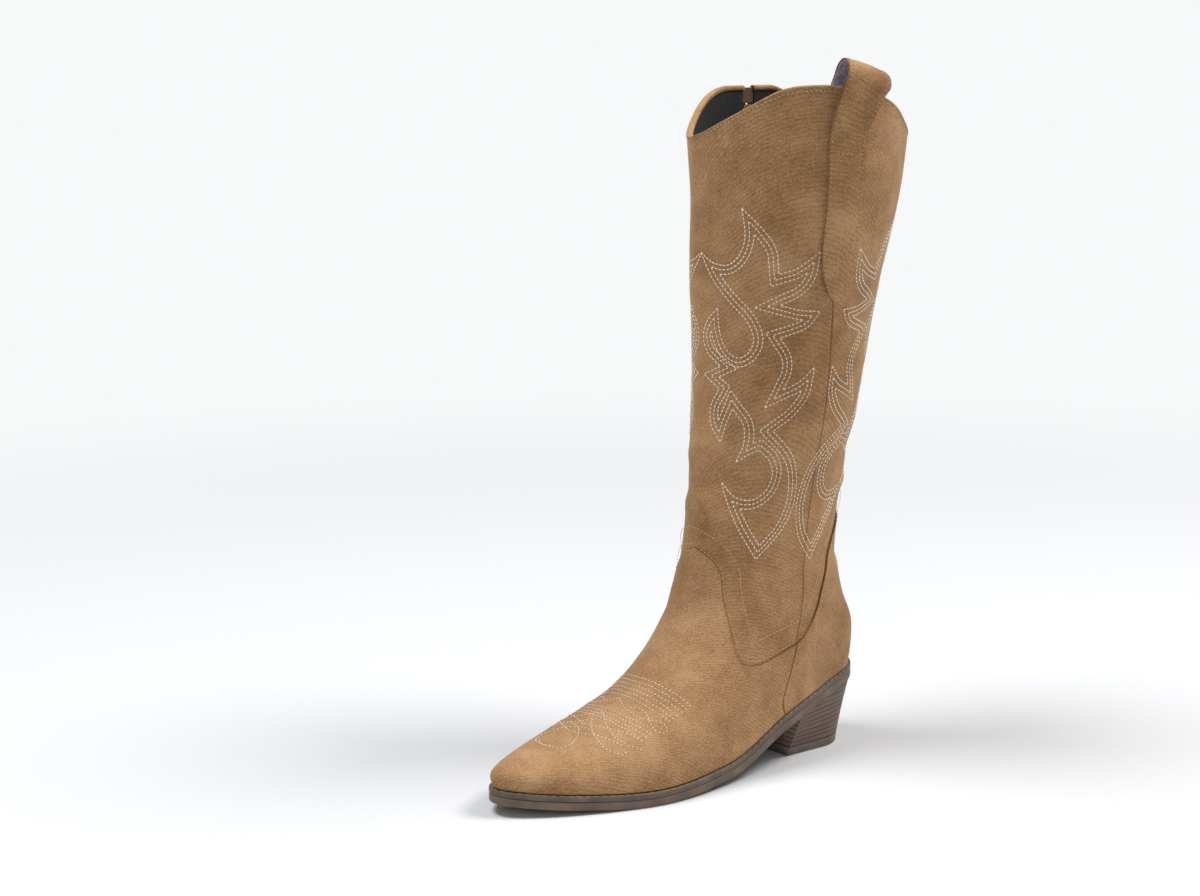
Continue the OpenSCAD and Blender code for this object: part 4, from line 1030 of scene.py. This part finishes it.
heel_stack.node_tree.links.new(lifts.outputs[0], tone.inputs[7])
fine = put(heel_stack, "ShaderNodeBump", {"Strength": 0.3, "Distance": 0.0003},
           {"Height": joint.outputs["Fac"]})
surface_out(heel_stack, tone.outputs[2], fine.outputs[0], {"Roughness": 0.58})

TREAD_L, TREAD_W, BREAST = 58.0, 53.0, -29.0
low_turn, high_turn = 10.0, 90.0
for _ in range(24):
    guess = (low_turn + high_turn) / 2
    if outline(guess, 3.5)[1] > BREAST - 2:
        low_turn = guess
    else:
        high_turn = guess
HEEL_TURN = high_turn


# The heel's wall: f runs from the inner front corner round the back, z is the height.
def heel_wall(f, z, inset=0.0):
    e = outline(blend(-HEEL_TURN, HEEL_TURN, f), 2.7)
    top = e[:, 2] - SOLE
    r = TREAD_W / 2
    cy = TREAD_L / 2 - r
    g = np.clip((f - 0.13) / 0.74, 0, 1)
    x = -r * np.cos(np.pi * g)
    y = np.where(f < 0.13, blend(BREAST, cy, f / 0.13),
                 np.where(f > 0.87, blend(cy, BREAST, (f - 0.87) / 0.13), cy + r * np.sin(np.pi * g)))
    k = np.clip(z / top, 0, 1.2) ** 1.25
    p = np.stack([blend(x, e[:, 0], k), blend(y, e[:, 1], k)], 1)
    middle = np.array([0.0, 2.0])
    away = p - middle
    p = p - away / np.linalg.norm(away, axis=1, keepdims=True) * inset
    return np.column_stack([p, z])


# Closed solid of stacked rings: share of the wall (None for a plain height), lift and inset in mm.
def heel_solid(name, levels, mat):
    f = np.concatenate([[0, 0.002, 0.006], np.linspace(0.012, 0.988, 110), [0.994, 0.998, 1]])
    top = outline(blend(-HEEL_TURN, HEEL_TURN, f), 2.7)[:, 2] - SOLE - 0.05
    n, rings = len(f), []
    for share, lift, inset in levels:
        z = blend(6.05, top, share) + lift if share is not None else np.full(n, lift)
        rings.append(heel_wall(f, z, inset) / 1000)
    points, faces = np.vstack(rings), []
    for k in range(len(levels) - 1):
        for i in range(n):
            j = (i + 1) % n
            faces.append((k * n + i, k * n + j, k * n + n + j, k * n + n + i))
    last = (len(levels) - 1) * n
    for i in range(n // 2):
        p, q = n - 1 - i, n - 2 - i
        if i + 1 < q:
            faces.append((last + i, last + i + 1, last + q, last + p))
            faces.append((i, p, q, i + 1))
        elif i + 1 == q:
            faces.append((last + i, last + q, last + p))
            faces.append((i, p, q))
    return make_piece(name, points, faces, mat)


levels = [(0, 0, 0.8), (0, 0.1, 0.25), (0, 0.4, 0.0)] + [(k / 12, 0, 0.0) for k in range(1, 12)]
levels += [(1, -0.4, 0.0), (1, 0, 0.3)]
heel = heel_solid("heel_stack", levels, heel_stack)
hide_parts("heel_block")

# Moulded wearing piece: the same brown, darker and duller than the stack.
lift_rubber = new_material("moulded_top_piece_rubber")
place = on_object(lift_rubber)
bloom = put(lift_rubber, "ShaderNodeTexNoise", {"Scale": 160.0, "Detail": 4.0}, place)
tint = ramp(lift_rubber, bloom.outputs["Fac"], [(0.3, "#57483D"), (0.7, "#75645A")])
surface_out(lift_rubber, tint.outputs[0], None, {"Roughness": 0.6, "IOR": 1.52})
levels = [(None, 0.0, 1.0), (None, 0.15, 0.4), (None, 0.6, 0.05), (None, 3.0, 0.0), (None, 5.4, 0.0),
          (None, 5.85, 0.2), (None, 6.0, 0.8)]
top_piece = heel_solid("heel_top_piece_rubber", levels, lift_rubber)
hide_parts("heel_top_piece")


# ---- Floor, light and camera -----------------------------------------------------------------
# A pale paper floor that curves up far behind, soft light from above and both sides, and the
# camera a metre and a half away, a little above the boot and turned to its outer front.
paper = new_material("pale_studio_paper")
place = on_object(paper)
tooth = put(paper, "ShaderNodeTexNoise", {"Scale": 300.0}, place)
reach = put(paper, "ShaderNodeVectorMath", {"operation": "LENGTH"}, {0: place["Vector"]})
away = put(paper, "ShaderNodeMapRange", {"interpolation_type": "SMOOTHSTEP", "From Min": 0.45,
                                         "From Max": 1.5},
           {"Value": reach.outputs["Value"]})
tint = ramp(paper, tooth.outputs["Fac"], [(0.0, "#DFE0E2"), (1.0, "#E5E6E8")])
fade = put(paper, "ShaderNodeMix", {"data_type": "RGBA"}, {"Factor": away.outputs[0]})
paper.node_tree.links.new(tint.outputs[0], fade.inputs[6])
fade.inputs[7].default_value = (0, 0, 0, 1)
shader = surface_out(paper, fade.outputs[2], None, {"Roughness": 1.0, "Specular IOR Level": 0.0,
                                                    "Emission Color": "#F7F8F9"})
paper.node_tree.links.new(away.outputs[0], shader.inputs["Emission Strength"])


# A ring of paper between radii, so that the lit far part can be kept from lighting the boot.
def paper_ring(name, rings):
    turn = np.radians(np.arange(0, 360, 5))
    points, faces = [], []
    for reach, height in rings:
        points += [(reach * math.cos(a), reach * math.sin(a), height) for a in turn]
    for k in range(len(rings) - 1):
        a, b = k * 72, (k + 1) * 72
        faces += [(a + i, b + i, b + (i + 1) % 72, a + (i + 1) % 72) for i in range(72)]
    if rings[0][0] < 0.1:
        faces.append(tuple(range(72)))
    mesh = bpy.data.meshes.new(name)
    mesh.from_pydata(points, [], faces)
    mesh.materials.append(paper)
    mesh.polygons.foreach_set("use_smooth", [True] * len(mesh.polygons))
    ring = bpy.data.objects.new(name, mesh)
    bpy.context.scene.collection.objects.link(ring)
    return ring


paper_ring("paper_floor", [(0.05, 0), (0.4, 0), (0.8, 0), (1.5, 0)])
far_paper = paper_ring("paper_wall", [(1.5, 0), (3.0, 0), (4.2, 0.05), (5.0, 0.35), (5.5, 1.0), (5.7, 2.2),
                                      (5.7, 4.5)])
far_paper.visible_diffuse = False
far_paper.visible_shadow = False

world = bpy.data.worlds.new("studio_air")
world.use_nodes = True
world.node_tree.nodes["Background"].inputs["Color"].default_value = linear("#F7F9FC")
world.node_tree.nodes["Background"].inputs["Strength"].default_value = 0.3
bpy.context.scene.world = world


def lamp(name, place, target, size, power, hex_colour):
    light = bpy.data.lights.new(name, "AREA")
    light.shape = "DISK"
    light.size = size
    light.energy = power
    light.color = linear(hex_colour)[:3]
    holder = bpy.data.objects.new(name, light)
    holder.location = place
    holder.rotation_euler = (Vector(place) - Vector(target)).to_track_quat("Z", "Y").to_euler()
    bpy.context.scene.collection.objects.link(holder)


lamp("key_light", (0.9, 1.15, 2.3), (0, 0, 0.1), 1.1, 46, "#FFFDF9")
lamp("top_light", (-0.45, -0.9, 2.4), (0, -0.1, 0.1), 1.2, 42, "#FCFDFF")
lamp("fill_light", (1.8, -1.9, 1.3), (0, 0, 0.2), 1.6, 6, "#FAFCFF")

turned, raised = math.radians(51.17), math.radians(10.26)
level_back = Vector((math.sin(turned), -math.cos(turned), 0))
right = Vector((math.cos(turned), math.sin(turned), 0))
back = Vector((math.sin(turned) * math.cos(raised), -math.cos(turned) * math.cos(raised), math.sin(raised)))
up = back.cross(right)
lens = bpy.data.cameras.new("camera")
lens.sensor_width = 36
lens.lens = 70.3
lens.dof.use_dof = False
camera = bpy.data.objects.new("camera", lens)
frame_axes = Matrix((right, up, back)).transposed().to_4x4()
spot = level_back * 1.4877 + right * -0.1268 + Vector((0, 0, 0.4639))
camera.matrix_world = Matrix.Translation(spot) @ frame_axes
bpy.context.scene.collection.objects.link(camera)
bpy.context.scene.camera = camera
bpy.context.scene.view_settings.view_transform = "Standard"
